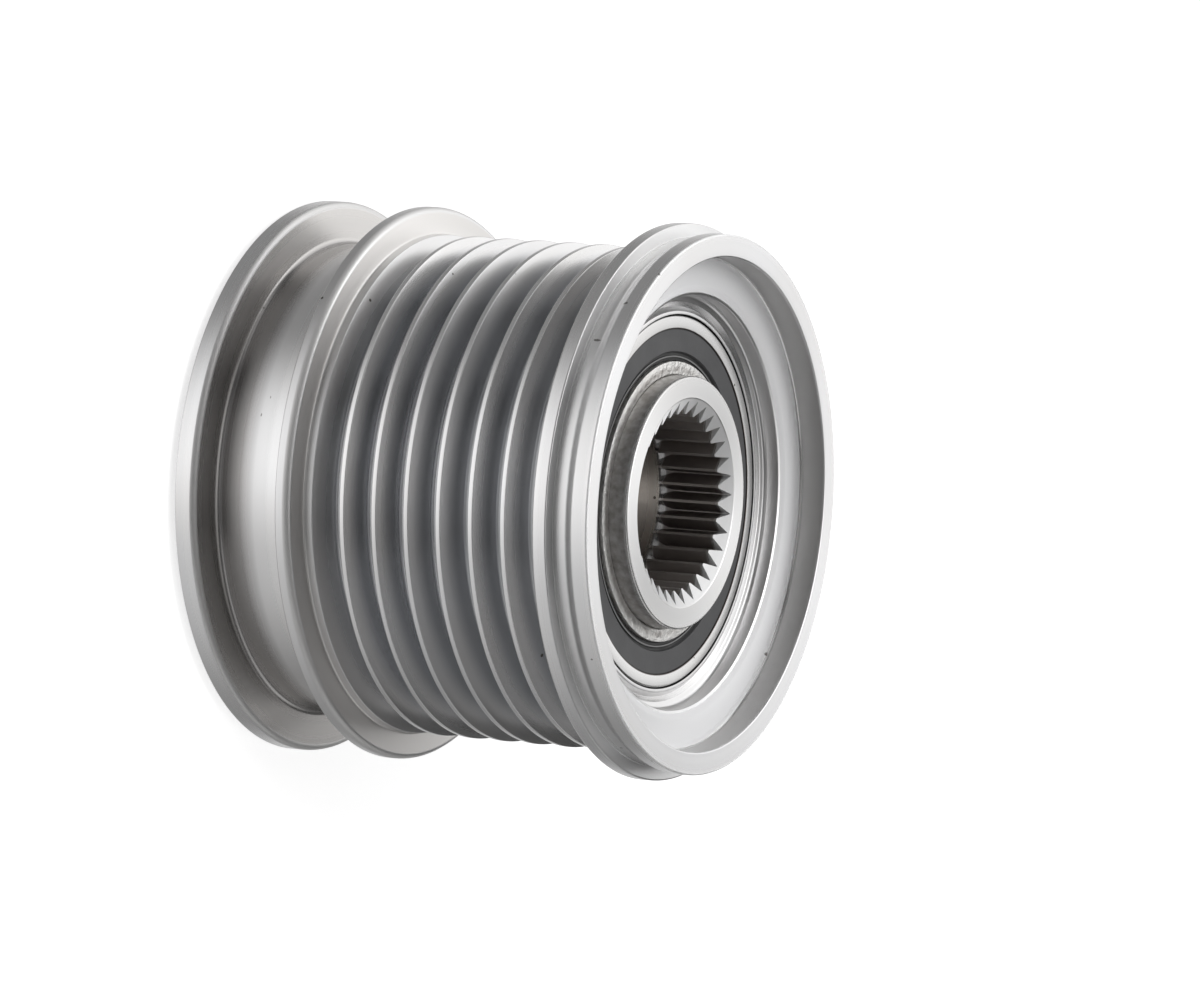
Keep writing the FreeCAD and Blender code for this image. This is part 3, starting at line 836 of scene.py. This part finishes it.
@dataclass
class HubSleeve:
    """The hub: collar, journal, nose, tool spline, relief, thread and shaft seat."""

    face: float = 43.09
    journal_radius: float = 12.5
    collar_radius: float = 13.6
    collar_thickness: float = 2.5
    pilot_radius: float = 8.51
    pilot_mouth: float = 0.25
    pilot_depth: float = 7.5
    pilot_cone_run: float = 0.66
    thread_core_radius: float = 7.188
    thread_root_radius: float = 8.0
    thread_pitch: float = 1.5
    thread_base_share: float = 0.47
    thread_crest_share: float = 0.125
    thread_sink: float = 0.05
    thread_end: float = 24.0
    relief_radius: float = 8.95
    spline_depth: float = 7.7
    crest_radius: float = 8.75
    root_radius: float = 10.05
    crest_flat: float = 0.26
    root_flat: float = 0.1
    teeth: int = 33
    space_angle: float = 18.3
    ledge_radius: float = 9.4
    run_out: float = 1.1
    lead_in_radius: float = 10.4
    lead_in_angle: float = 120.0
    cut_clearance: float = 0.2
    edge_round: float = 0.2
    thread_steps: int = 48

    def spline_end(self) -> float:
        """Height of the spline's rear end."""
        return self.face - self.spline_depth

    def blank(self) -> list[Corner]:
        """The corners of the hub before its spline is cut.

        Returns:
            The corners in order.
        """
        slant = math.tan(math.radians(self.lead_in_angle / 2))
        lead_depth = (self.lead_in_radius - self.crest_radius) / slant
        pilot_step = self.pilot_radius - self.thread_root_radius
        cone_share = pilot_step / (self.pilot_radius - self.thread_core_radius)
        pilot_end = self.pilot_depth - self.pilot_cone_run
        relief_step = self.relief_radius - self.thread_root_radius
        relief_start = self.thread_end + self.relief_radius - self.thread_core_radius
        return [
            Corner(self.pilot_radius + self.pilot_mouth, 0.0),
            Corner(self.collar_radius, 0.0, self.edge_round),
            Corner(self.collar_radius, self.collar_thickness),
            Corner(self.journal_radius, self.collar_thickness),
            Corner(self.journal_radius, self.face, self.edge_round),
            Corner(self.lead_in_radius, self.face),
            Corner(self.crest_radius, self.face - lead_depth),
            Corner(self.crest_radius, self.spline_end()),
            Corner(self.relief_radius, self.spline_end()),
            Corner(self.relief_radius, relief_start),
            Corner(self.thread_root_radius, relief_start - relief_step),
            Corner(self.thread_root_radius, pilot_end + self.pilot_cone_run * cone_share),
            Corner(self.pilot_radius, pilot_end),
            Corner(self.pilot_radius, self.pilot_mouth),
        ]

    def space_outline(self) -> list[tuple[float, float]]:
        """The four corners of one V-shaped space, along its middle and across it.

        Returns:
            The four corners, in mm.
        """
        half_space = math.radians(180.0 / self.teeth) - self.crest_flat / self.crest_radius / 2
        chord = self.crest_radius * math.cos(half_space)
        crest_half = self.crest_radius * math.sin(half_space)
        root_half = self.root_flat / 2
        spread = (crest_half - root_half) / (self.root_radius - chord)
        bore_side = self.crest_radius - self.cut_clearance
        bore_half = crest_half + (chord - bore_side) * spread
        return [(bore_side, -bore_half), (self.root_radius, -root_half), (self.root_radius, root_half),
                (bore_side, bore_half)]

    def space_cutter(self) -> bpy.types.Object:
        """Makes all the spline's spaces as one cutting shape.

        Returns:
            The cutting object.
        """
        shape = bmesh.new()
        top = self.face + self.edge_round
        points = [shape.verts.new((x * MM, y * MM, self.spline_end() * MM)) for x, y in self.space_outline()]
        bottom = shape.faces.new(points)
        raised = bmesh.ops.extrude_face_region(shape, geom=[bottom])["geom"]
        lifted = [g for g in raised if isinstance(g, bmesh.types.BMVert)]
        bmesh.ops.translate(shape, vec=AXIS * (top - self.spline_end()) * MM, verts=lifted)
        first = shape.verts[:] + shape.edges[:] + shape.faces[:]
        for number in range(1, self.teeth):
            copy = bmesh.ops.duplicate(shape, geom=first)["geom"]
            turned = [g for g in copy if isinstance(g, bmesh.types.BMVert)]
            bmesh.ops.rotate(shape, cent=(0.0, 0.0, 0.0), verts=turned,
                             matrix=Matrix.Rotation(FULL_TURN * number / self.teeth, 3, "Z"))
        bmesh.ops.rotate(shape, cent=(0.0, 0.0, 0.0), verts=shape.verts[:],
                         matrix=Matrix.Rotation(math.radians(self.space_angle), 3, "Z"))
        return Lathe.finish("spline_cutter", shape)

    def run_out_cone(self, lathe: Lathe) -> bpy.types.Object:
        """Makes the ring that the spaces run out on.

        Args:
            lathe: What turns it.

        Returns:
            The ring.
        """
        slope = self.run_out / (self.root_radius - self.ledge_radius)
        outer = self.root_radius + self.edge_round
        low = self.spline_end() - self.edge_round
        return lathe.turn("run_out_cone", [
            Corner(self.ledge_radius, low),
            Corner(outer, low),
            Corner(outer, self.spline_end() + (outer - self.ledge_radius) * slope),
            Corner(self.ledge_radius, self.spline_end()),
        ])

    @staticmethod
    def cut(target: bpy.types.Object, tool: bpy.types.Object) -> None:
        """Cuts one object with another, which is removed.

        Args:
            target: The object that is cut.
            tool: The cutting object.
        """
        target.modifiers.clear()
        cutting = target.modifiers.new("cut", "BOOLEAN")
        cutting.operation = "DIFFERENCE"
        cutting.solver = "EXACT"
        cutting.object = tool
        bpy.context.view_layer.update()
        graph = bpy.context.evaluated_depsgraph_get()
        mesh = bpy.data.meshes.new_from_object(target.evaluated_get(graph))
        target.modifiers.clear()
        target.data = mesh
        bpy.data.objects.remove(tool)

    def build(self, lathe: Lathe) -> bpy.types.Object:
        """Turns the hub and cuts its spline.

        Args:
            lathe: What turns it.

        Returns:
            The hub.
        """
        spaces = self.space_cutter()
        self.cut(spaces, self.run_out_cone(lathe))
        blank = lathe.turn("hub_blank", self.blank())
        self.cut(blank, spaces)
        shape = bmesh.new()
        shape.from_mesh(blank.data)
        bpy.data.objects.remove(blank)
        return Lathe.finish("hub_body", shape)

    def build_thread(self) -> bpy.types.Object:
        """Winds the inward ridge of the shaft thread.

        Returns:
            The ridge.
        """
        half_base = self.thread_pitch * self.thread_base_share
        half_crest = self.thread_pitch * self.thread_crest_share
        base, core = self.thread_root_radius + self.thread_sink, self.thread_core_radius
        start = self.pilot_depth + half_base
        turns = (self.thread_end - self.pilot_depth - 2 * half_base) / self.thread_pitch
        steps = int(turns * self.thread_steps)
        shape = bmesh.new()
        section = [(base, -half_base), (core, -half_crest), (core, half_crest), (base, half_base)]
        points = [shape.verts.new((r * MM, 0.0, (start + h) * MM)) for r, h in section]
        face = shape.faces.new(points)
        bmesh.ops.spin(shape, geom=[face], cent=(0.0, 0.0, 0.0), axis=AXIS,
                       dvec=AXIS * self.thread_pitch / self.thread_steps * MM,
                       angle=FULL_TURN * steps / self.thread_steps, steps=steps, use_merge=False)
        return Lathe.finish("shaft_thread_ridge", shape)


# Ball bearings


@dataclass
class BallBearing:
    """The races and seals of one thin ball bearing, 25 by 37 by 7."""

    end: str
    rear: float
    width: float = 7.0
    bore_radius: float = 12.5
    outer_radius: float = 18.5
    pitch_radius: float = 15.5
    track_radius: float = 1.785
    inner_shoulder: float = 14.35
    outer_shoulder: float = 16.6
    seal_seat: float = 17.1
    seal_track: float = 13.86
    seat_depth: float = 0.95
    race_round: float = 0.22
    fine_round: float = 0.05
    seal_inset: float = 0.1
    seal_thickness: float = 0.75
    seal_gap: float = 0.06
    lip_radius: float = 14.75
    lip_drop: float = 0.32
    lip_slope: float = 0.08
    lip_ring_outer: float = 14.42
    lip_ring_inner: float = 14.24
    lip_ring_rise: float = 0.14
    outer_break: float = 0.32
    arc_steps: int = 10

    def ball_track(self, shoulder: float) -> list[Corner]:
        """The round track of the balls, from its rear edge to its front edge.

        Args:
            shoulder: Radius of the shoulders beside the track.

        Returns:
            The corners in order.
        """
        rise = shoulder - self.pitch_radius
        half = math.acos(abs(rise) / self.track_radius)
        outwards = math.copysign(1.0, rise)
        middle = self.rear + self.width / 2
        corners = []
        for step in range(self.arc_steps + 1):
            angle = half * (2 * step / self.arc_steps - 1)
            corners.append(Corner(self.pitch_radius + outwards * self.track_radius * math.cos(angle),
                                  middle + self.track_radius * math.sin(angle)))
        return corners

    def outer_race(self, lathe: Lathe) -> bpy.types.Object:
        """Turns the outer race.

        Args:
            lathe: What turns it.

        Returns:
            The race.
        """
        low, top = self.rear, self.rear + self.width
        corners = [
            Corner(self.seal_seat, low, self.fine_round),
            Corner(self.outer_radius, low, self.outer_break),
            Corner(self.outer_radius, top, self.outer_break),
            Corner(self.seal_seat, top, self.fine_round),
            Corner(self.seal_seat, top - self.seat_depth),
            Corner(self.outer_shoulder, top - self.seat_depth),
        ]
        corners += reversed(self.ball_track(self.outer_shoulder))
        corners += [
            Corner(self.outer_shoulder, low + self.seat_depth),
            Corner(self.seal_seat, low + self.seat_depth),
        ]
        return lathe.turn(self.end + "_outer_race_ground", corners)

    def inner_race(self, lathe: Lathe) -> bpy.types.Object:
        """Turns the inner race.

        Args:
            lathe: What turns it.

        Returns:
            The race.
        """
        low, top = self.rear, self.rear + self.width
        slope = self.seat_depth + self.race_round
        corners = [
            Corner(self.bore_radius, low, self.race_round),
            Corner(self.seal_track, low, self.fine_round),
            Corner(self.seal_track, low + self.seat_depth),
            Corner(self.inner_shoulder, low + slope),
        ]
        corners += self.ball_track(self.inner_shoulder)
        corners += [
            Corner(self.inner_shoulder, top - slope),
            Corner(self.seal_track, top - self.seat_depth),
            Corner(self.seal_track, top, self.fine_round),
            Corner(self.bore_radius, top, self.race_round),
        ]
        return lathe.turn(self.end + "_inner_race_ground", corners)

    def seal(self, facing: Facing, lathe: Lathe) -> bpy.types.Object:
        """Turns the seal at one side, with its lip set back from its flat.

        Args:
            facing: Which side of the bearing it closes.
            lathe: What turns it.

        Returns:
            The seal.
        """
        way = facing.value
        face = self.rear + (self.width if facing is Facing.FRONT else 0.0)
        outside = face - self.seal_inset * way
        inside = outside - self.seal_thickness * way
        lip = outside - self.lip_drop * way
        inner = self.seal_track + self.seal_gap
        return lathe.turn(f"{self.end}_bearing_{facing.name.lower()}_seal_moulded", [
            Corner(inner, inside),
            Corner(self.seal_seat, inside),
            Corner(self.seal_seat, outside, self.fine_round),
            Corner(self.lip_radius + self.lip_slope, outside, self.fine_round),
            Corner(self.lip_radius, lip, self.fine_round),
            Corner(self.lip_ring_outer, lip, self.fine_round),
            Corner(self.lip_ring_outer, lip + self.lip_ring_rise * way, self.fine_round),
            Corner(self.lip_ring_inner, lip + self.lip_ring_rise * way, self.fine_round),
            Corner(self.lip_ring_inner, lip, self.fine_round),
            Corner(inner, lip, self.fine_round),
        ])


# Studio


@dataclass(frozen=True)
class PhotoCamera:
    """Where the photograph was taken from, as fitted to the part's own circles."""

    image_width: float = 1200.0
    image_height: float = 1005.0
    axis_mark_x: float = 463.2335
    axis_mark_y: float = 486.2324
    axis_mark_height: float = 18.0
    pixels_per_mm: float = 10.02057
    axis_turn: float = 62.32863
    axis_tip: float = 4.32536
    distance: float = 842.5339
    sensor_width: float = 36.0
    near_clip: float = 0.05
    far_clip: float = 20.0

    def build(self) -> bpy.types.Object:
        """Places the camera and makes it the scene's.

        Returns:
            The camera object.
        """
        turn, tip = math.radians(self.axis_turn), math.radians(self.axis_tip)
        along = Vector((math.sin(turn) * math.cos(tip), math.sin(turn) * math.sin(tip), -math.cos(turn)))
        up = Vector((0.0, -1.0, 0.0))
        up = (up - up.dot(along) * along).normalized()
        left = along.cross(up)
        to_part = Matrix((-up, -left, along))
        mark = Vector(((self.axis_mark_x - self.image_width / 2) / self.pixels_per_mm,
                       (self.axis_mark_y - self.image_height / 2) / self.pixels_per_mm, self.distance))
        place = AXIS * self.axis_mark_height - to_part @ mark
        right = to_part @ Vector((1.0, 0.0, 0.0))
        top = to_part @ Vector((0.0, -1.0, 0.0))
        back = right.cross(top)
        lens = bpy.data.cameras.new("photo_camera")
        lens.sensor_fit = "HORIZONTAL"
        lens.sensor_width = self.sensor_width
        lens.lens = self.pixels_per_mm * self.distance * self.sensor_width / self.image_width
        lens.clip_start = self.near_clip
        lens.clip_end = self.far_clip
        camera = bpy.data.objects.new("photo_camera", lens)
        turned = Matrix((right, top, back)).transposed().to_4x4()
        camera.matrix_world = Matrix.Translation(place * MM) @ turned
        bpy.context.scene.collection.objects.link(camera)
        bpy.context.scene.camera = camera
        return camera


@dataclass(frozen=True)
class SoftPanel:
    """A soft pale area on the card that surrounds the part.

    Its heading, its full width and its reach to each side are in degrees. It is full between two
    heights, given as shares of the card's radius, and fades out above and below over one more share.
    """

    heading: float
    full_width: float
    reach: float
    low: float
    high: float
    fade: float
    strength: float


@dataclass(frozen=True)
class RoundPanel:
    """A round pale area on the card: where its middle is and how far it reaches, in degrees."""

    heading: float
    elevation: float
    full_width: float
    reach: float
    strength: float

    def direction(self) -> Vector:
        """Which way the panel's middle lies from the part.

        Returns:
            The direction, of length 1.
        """
        heading, elevation = math.radians(self.heading), math.radians(self.elevation)
        level = math.cos(elevation)
        return Vector((-math.sin(heading) * level, -math.cos(heading) * level, math.sin(elevation)))


@dataclass(frozen=True)
class SoftLamp:
    """A large soft lamp: where it hangs and how wide it is, in metres, and its power in watts."""

    name: str
    place: tuple[float, float, float]
    size: float
    power: float


@dataclass
class Studio:
    """A plain pale floor, plain soft lamps, a white surrounding and a dim card for reflections."""

    floor_size: float = 6.0
    floor_colour: Colour = (0.8, 0.8, 0.8)
    floor_glow: float = 0.5
    lamps: tuple[SoftLamp, ...] = (
        SoftLamp("lamp_above", (-0.5, -0.35, 0.9), 0.7, 4.0),
        SoftLamp("lamp_side", (0.55, -0.6, 0.6), 0.6, 2.0),
    )
    lamp_target: tuple[float, float, float] = (0.0, 0.0, 0.02)
    surround_level: float = 0.6
    card_radius: float = 2.5
    card_level: float = 0.07
    card_subdivisions: int = 5
    panels: tuple[SoftPanel, ...] = (
        SoftPanel(0.0, 180.0, 181.0, -1.0, -0.2, 0.4, 0.24),
        SoftPanel(17.0, 6.0, 60.0, -1.0, -0.35, 0.3, 0.66),
        SoftPanel(-18.0, 14.0, 105.0, -1.0, -0.35, 0.3, 0.46),
        SoftPanel(8.0, 14.0, 40.0, 0.25, 0.6, 0.15, 0.33),
        SoftPanel(-85.0, 45.0, 65.0, 0.2, 0.46, 0.1, 0.75),
        SoftPanel(75.0, 12.0, 30.0, 0.2, 0.46, 0.1, 0.6),
        SoftPanel(180.0, 12.0, 55.0, -1.0, -0.2, 0.2, 0.45),
        SoftPanel(150.0, 31.0, 44.0, 0.1, 0.92, 0.2, 1.25),
    )
    round_panels: tuple[RoundPanel, ...] = (
        RoundPanel(115.0, 62.0, 12.0, 44.0, 0.8),
        RoundPanel(170.0, 76.0, 18.0, 38.0, 1.0),
    )

    def build(self) -> None:
        """Builds floor, lamps, surrounding and card."""
        bpy.context.scene.view_settings.view_transform = "Standard"
        self.build_floor()
        self.build_lamps()
        self.build_world()
        self.build_card()

    def build_floor(self) -> None:
        """Lays a floor that the camera sees as white, with the part's shadow kept."""
        shape = bmesh.new()
        bmesh.ops.create_grid(shape, x_segments=1, y_segments=1, size=self.floor_size / 2)
        floor = as_object("floor", shape)
        floor.visible_glossy = False
        material, sheet, surface = Finish("pale_floor", self.floor_colour, 1.0).start()
        seen = sheet.add("LightPath").outputs["Is Camera Ray"]
        sheet.feed(surface, {"Specular IOR Level": 0.0, "Emission Color": WHITE,
                             "Emission Strength": sheet.maths("MULTIPLY", seen, self.floor_glow)})
        floor.data.materials.append(material)

    def build_lamps(self) -> None:
        """Hangs the soft lamps, which reflections don't show."""
        for soft in self.lamps:
            light = bpy.data.lights.new(soft.name, "AREA")
            light.size = soft.size
            light.energy = soft.power
            lamp = bpy.data.objects.new(soft.name, light)
            lamp.location = soft.place
            towards = Vector(self.lamp_target) - Vector(soft.place)
            lamp.rotation_euler = towards.to_track_quat("-Z", "Y").to_euler()
            lamp.visible_glossy = False
            bpy.context.scene.collection.objects.link(lamp)

    def build_world(self) -> None:
        """Surrounds the part: white where it is seen, reflected or seen through, plain light otherwise."""
        world = bpy.data.worlds.new("surround")
        bpy.context.scene.world = world
        world.use_nodes = True
        world.node_tree.nodes.clear()
        sheet = NodeSheet(world.node_tree)
        rays = sheet.add("LightPath").outputs
        level = self.surround_level
        for ray in ("Is Camera Ray", "Is Glossy Ray", "Is Transmission Ray"):
            level = sheet.maths("MAXIMUM", rays[ray], level)
        background = sheet.add("Background", {"Color": WHITE, "Strength": level})
        sheet.add("OutputWorld", {"Surface": background.outputs[0]})

    def build_card(self) -> None:
        """Hangs a wide grey card with soft pale panels all round, which only reflections show."""
        shape = bmesh.new()
        bmesh.ops.create_icosphere(shape, subdivisions=self.card_subdivisions, radius=self.card_radius)
        card = as_object("reflection_card", shape)
        for kind in ("camera", "diffuse", "transmission", "volume_scatter", "shadow"):
            setattr(card, "visible_" + kind, False)
        material = bpy.data.materials.new("card_with_soft_panels")
        material.use_nodes = True
        material.cycles.emission_sampling = "NONE"
        card.data.materials.append(material)
        material.node_tree.nodes.clear()
        sheet = NodeSheet(material.node_tree)
        glow = sheet.add("Emission", {"Strength": self.card_glow(sheet)})
        sheet.add("OutputMaterial", {"Surface": glow.outputs[0]})

    def card_glow(self, sheet: NodeSheet) -> object:
        """Adds up the card's own level and its panels.

        Args:
            sheet: The sheet of the card's material.

        Returns:
            The socket of the glow.
        """
        across, along, up = sheet.point_parts()
        opposite = [sheet.maths("MULTIPLY", part, -1.0) for part in (across, along)]
        heading = sheet.maths("ARCTAN2", *opposite)
        height = sheet.maths("DIVIDE", up, self.card_radius)
        level = self.card_level
        for panel in self.panels:
            off = sheet.maths("ABSOLUTE", sheet.maths("SUBTRACT", heading, math.radians(panel.heading)))
            off = sheet.maths("MINIMUM", off, sheet.maths("SUBTRACT", FULL_TURN, off))
            part = sheet.soft_step(off, math.radians(panel.reach), math.radians(panel.full_width))
            below = sheet.soft_step(height, panel.low - panel.fade, panel.low)
            above = sheet.soft_step(height, panel.high + panel.fade, panel.high)
            part = sheet.maths("MULTIPLY", part, sheet.maths("MULTIPLY", below, above))
            level = sheet.maths("ADD", level, sheet.maths("MULTIPLY", part, panel.strength))
        for panel in self.round_panels:
            inputs = {0: sheet.point(), 1: panel.direction() / self.card_radius}
            towards = sheet.add("VectorMath", inputs, operation="DOT_PRODUCT")
            off = sheet.maths("ARCCOSINE", towards.outputs["Value"])
            part = sheet.soft_step(off, math.radians(panel.reach), math.radians(panel.full_width))
            level = sheet.maths("ADD", level, sheet.maths("MULTIPLY", part, panel.strength))
        return level


# Assembly


class Finishes:
    """Every material of the part, made once."""

    # Near-black painted shade for the gaps where an outer race meets its seat.
    GAP_SHADE = (0.03, 0.03, 0.03)
    PULLEY_NICKS = (
        Nick(45.2, 23.6, 3.5, 0.16), Nick(74.5, 23.5, 7.4, 0.16, 0.4), Nick(70.0, 23.5, 8.0, 0.14, 0.3),
        Nick(23.6, 24.9, 27.5, 0.14, 2.0), Nick(30.0, 24.9, 29.3, 0.12), Nick(45.3, 24.9, 30.2, 0.12),
        Nick(43.2, 26.65, 44.5, 0.16, 2.0), Nick(53.1, 26.15, 43.1, 0.13, 3.0),
        Nick(32.9, 26.7, 46.1, 0.18), Nick(231.2, 24.4, 43.3, 0.26), Nick(124.0, 26.6, 45.2, 0.12),
        Nick(156.1, 26.2, 43.0, 0.13), Nick(159.8, 26.65, 45.7, 0.13), Nick(96.0, 24.5, 25.0, 0.12, 2.5),
    )
    PULLEY_ZONES = (
        # Painted shade: a darker, cooler colour stands in for the shade deep in the belt grooves.
        RingZone("belt grooves", 0.0, 24.2, 15.2, 39.1, (0.44, 0.45, 0.47), 0.75, 1.2),
        # Painted shadow: the rear flange's shadow on the track, painted dark.
        RingZone("painted flange shadow on the track", 21.8, 25.2, 1.9, 7.5, (0.31, 0.30, 0.295), 0.95, 1.6),
        # Painted shade on the rear flank, with a slightly warm tint.
        RingZone("painted shade on the rear flank", 23.6, 27.2, 2.8, 4.0, (0.55, 0.535, 0.52), 0.95, 0.3),
        RingZone("rear corner", 27.0, 27.8, 2.65, 3.3, (0.64, 0.635, 0.63), 1.0, 0.15, roughness=0.5),
        RingZone("middle flank", 24.8, 27.2, 13.55, 14.2, (0.70, 0.685, 0.67), 1.0, 0.15, roughness=0.42),
        RingZone("middle corner", 27.0, 27.8, 13.05, 13.8, (0.66, 0.655, 0.65), 1.0, 0.15, roughness=0.5),
        # Painted light: the paler colour lifts the ledge's brightness; its high roughness is the face's own
        # coarser turning.
        RingZone("ledge", 20.72, 24.3, 42.75, 43.45, (0.94, 0.94, 0.945), 1.0, 0.1, roughness=0.9),
        # Painted shade: a darker colour on the wall inside the recess.
        RingZone("painted shade on the recess wall", 24.2, 24.6, 43.5, 46.0, (0.52, 0.515, 0.51), 1.0, 0.15, roughness=0.35),
        RingZone("front flange face", 26.0, 27.4, 41.9, 42.3, (0.76, 0.76, 0.76), 1.0, 0.12, roughness=0.45),
        RingZone("rim edge", 26.4, 26.8, 45.92, 46.3, (0.82, 0.82, 0.82), 1.0, 0.06, roughness=0.6),
        # Painted shade in the gap at the front bearing's seat.
        RingZone("painted shade in the seat gap", 18.4, 18.62, 40.3, 41.12, GAP_SHADE, 0.9, 0.05),
    )
    HUB_ZONES = (
        RingZone("journal", 12.3, 12.7, 20.0, 42.75, (0.36, 0.345, 0.33), 1.0, 0.15, patchy=True),
        RingZone("relief bore", 0.0, 9.3, 20.0, 35.5, (0.54, 0.51, 0.48), 0.9, 0.2),
        RingZone("tool spline", 0.0, 10.2, 35.8, 42.0, (0.34, 0.31, 0.295), 0.9, 0.2, roughness=0.45),
        RingZone("lead-in cone", 8.6, 10.45, 42.05, 43.06, (0.80, 0.80, 0.80), 1.0, 0.05, roughness=0.6),
    )
    RACE_NICKS = (Nick(312.1, 17.4, 41.1, 0.14), Nick(206.0, 17.3, 41.1, 0.1))
    RACE_ZONES = (
        # Painted shade at the race's outer edge, in the gap to its seat.
        RingZone("painted shade in the seat gap", 18.28, 18.8, *WHOLE_HEIGHT, GAP_SHADE, 0.9, 0.08),
        RingZone("seal gap", 16.9, 17.22, *WHOLE_HEIGHT, (0.07, 0.05, 0.045), 0.9, 0.06),
    )
    INNER_RACE_ZONES = (
        # A darker, patchy ring on the inner race's face beside the journal.
        RingZone("darker patchy ring by the journal", 12.7, 13.5, *WHOLE_HEIGHT, (0.30, 0.28, 0.265), 0.85, 0.3, patchy=True),
    )
    SEAL_ZONES = (
        # Painted shade: near-black on the seal lip, which sits back from the seal's flat.
        RingZone("lip", 0.0, 14.78, *WHOLE_HEIGHT, (0.014, 0.014, 0.014), 0.95, 0.05),
        RingZone("ring on the lip", 14.24, 14.42, *WHOLE_HEIGHT, (0.22, 0.22, 0.22), 0.9, 0.04),
        RingZone("outer edge", 16.96, 17.3, *WHOLE_HEIGHT, (0.01, 0.01, 0.01), 0.95, 0.05),
    )

    def __init__(self, effects: EffectGroups) -> None:
        """Makes the materials from the shared effect groups.

        Args:
            effects: The shared effect groups.
        """
        self.pulley = TurnedMetal("satin_turned_steel", (0.71, 0.71, 0.715), 0.28, zones=self.PULLEY_ZONES,
                                  nicks=self.PULLEY_NICKS).build(effects)
        self.hub = TurnedMetal("machined_hub_steel", (0.66, 0.66, 0.66), 0.27, zones=self.HUB_ZONES,
                               grooved=0.8).build(effects)
        self.race = TurnedMetal("ground_race_steel", (0.64, 0.64, 0.64), 0.22, zones=self.RACE_ZONES,
                                grooved=0.6, line_depth=0.01, nicks=self.RACE_NICKS).build(effects)
        self.polished = TurnedMetal("polished_ball_steel", (0.75, 0.75, 0.76), 0.08, grooved=0.0,
                                    line_depth=0.0).build(effects)
        self.clutch = TurnedMetal("hardened_clutch_steel", (0.45, 0.44, 0.43), 0.35,
                                  grooved=0.3).build(effects)
        self.spring = TurnedMetal("rolled_spring_steel", (0.50, 0.50, 0.50), 0.28, grooved=0.0).build(effects)
        self.worn_race = TurnedMetal("handled_race_steel", (0.70, 0.695, 0.68), 0.42, zones=self.INNER_RACE_ZONES,
                                     grooved=0.3, mottle=0.8, speck_share=0.2).build(effects)
        self.seal = MouldedFinish("black_seal_rubber", (0.064, 0.064, 0.066), 0.5,
                                  zones=self.SEAL_ZONES).build(effects)
        self.cage = MouldedFinish("cage_polymer", (0.20, 0.16, 0.10), 0.45, grain=0.05).build(effects)


class OverrunningPulley:
    """The whole part: shell, hub, bearings and clutch."""

    def __init__(self, nodes: dict[str, bpy.types.Object]) -> None:
        """Keeps the CAD nodes and sets up sizes, lathe and finishes.

        Args:
            nodes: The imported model's objects by node name.
        """
        self.nodes = nodes
        self.lathe = Lathe()
        self.finishes = Finishes(EffectGroups())
        self.shell = PulleyShell()
        self.hub = HubSleeve()
        front_rear = self.shell.ledge() - self.shell.seat_depth - self.shell.bearing_width
        self.bearings = [BallBearing("rear", self.shell.rear_bearing_rear), BallBearing("front", front_rear)]

    def build(self) -> None:
        """Builds every visible piece and dresses the CAD nodes that stay."""
        finish = self.finishes
        dress(self.shell.build(self.lathe), finish.pulley, "turned_steel", Body.PULLEY, "pulley_shell")
        dress(self.hub.build(self.lathe), finish.hub, "hub_steel", Body.HUB, "hub_sleeve")
        dress(self.hub.build_thread(), finish.hub, "hub_steel", Body.HUB)
        for bearing in self.bearings:
            end = bearing.end
            outer, inner = bearing.outer_race(self.lathe), bearing.inner_race(self.lathe)
            dress(outer, finish.race, "race_steel", Body.PULLEY, end + "_outer_race")
            dress(inner, finish.worn_race, "race_steel", Body.HUB, end + "_inner_race")
            for facing in Facing:
                node = f"{end}_bearing_{facing.name.lower()}_seal"
                dress(bearing.seal(facing, self.lathe), finish.seal, "seal_rubber", Body.PULLEY, node)
        self.dress_inner_nodes()

    def dress_inner_nodes(self) -> None:
        """Gives the sealed inner CAD nodes their materials."""
        finish = self.finishes
        chosen = {
            finish.polished: ("front_balls", "rear_balls", "clutch_rollers"),
            finish.cage: ("front_ball_cage", "rear_ball_cage", "clutch_cage"),
            finish.clutch: ("clutch_cup", "clutch_front_ring", "clutch_rear_ring"),
            finish.spring: ("clutch_springs",),
        }
        for material, names in chosen.items():
            for name in names:
                for place in self.nodes[name].material_slots:
                    place.material = material
                LOG.info("%s: dressed as %s", name, material.name)


def main() -> None:
    """Loads the frame and builds the part, the studio and the camera."""
    logging.basicConfig(level=logging.INFO, format="%(name)s: %(message)s")
    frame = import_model()
    OverrunningPulley(frame["nodes"]).build()
    Studio().build()
    PhotoCamera().build()
    bpy.context.view_layer.update()


if __name__ == "__main__":
    main()
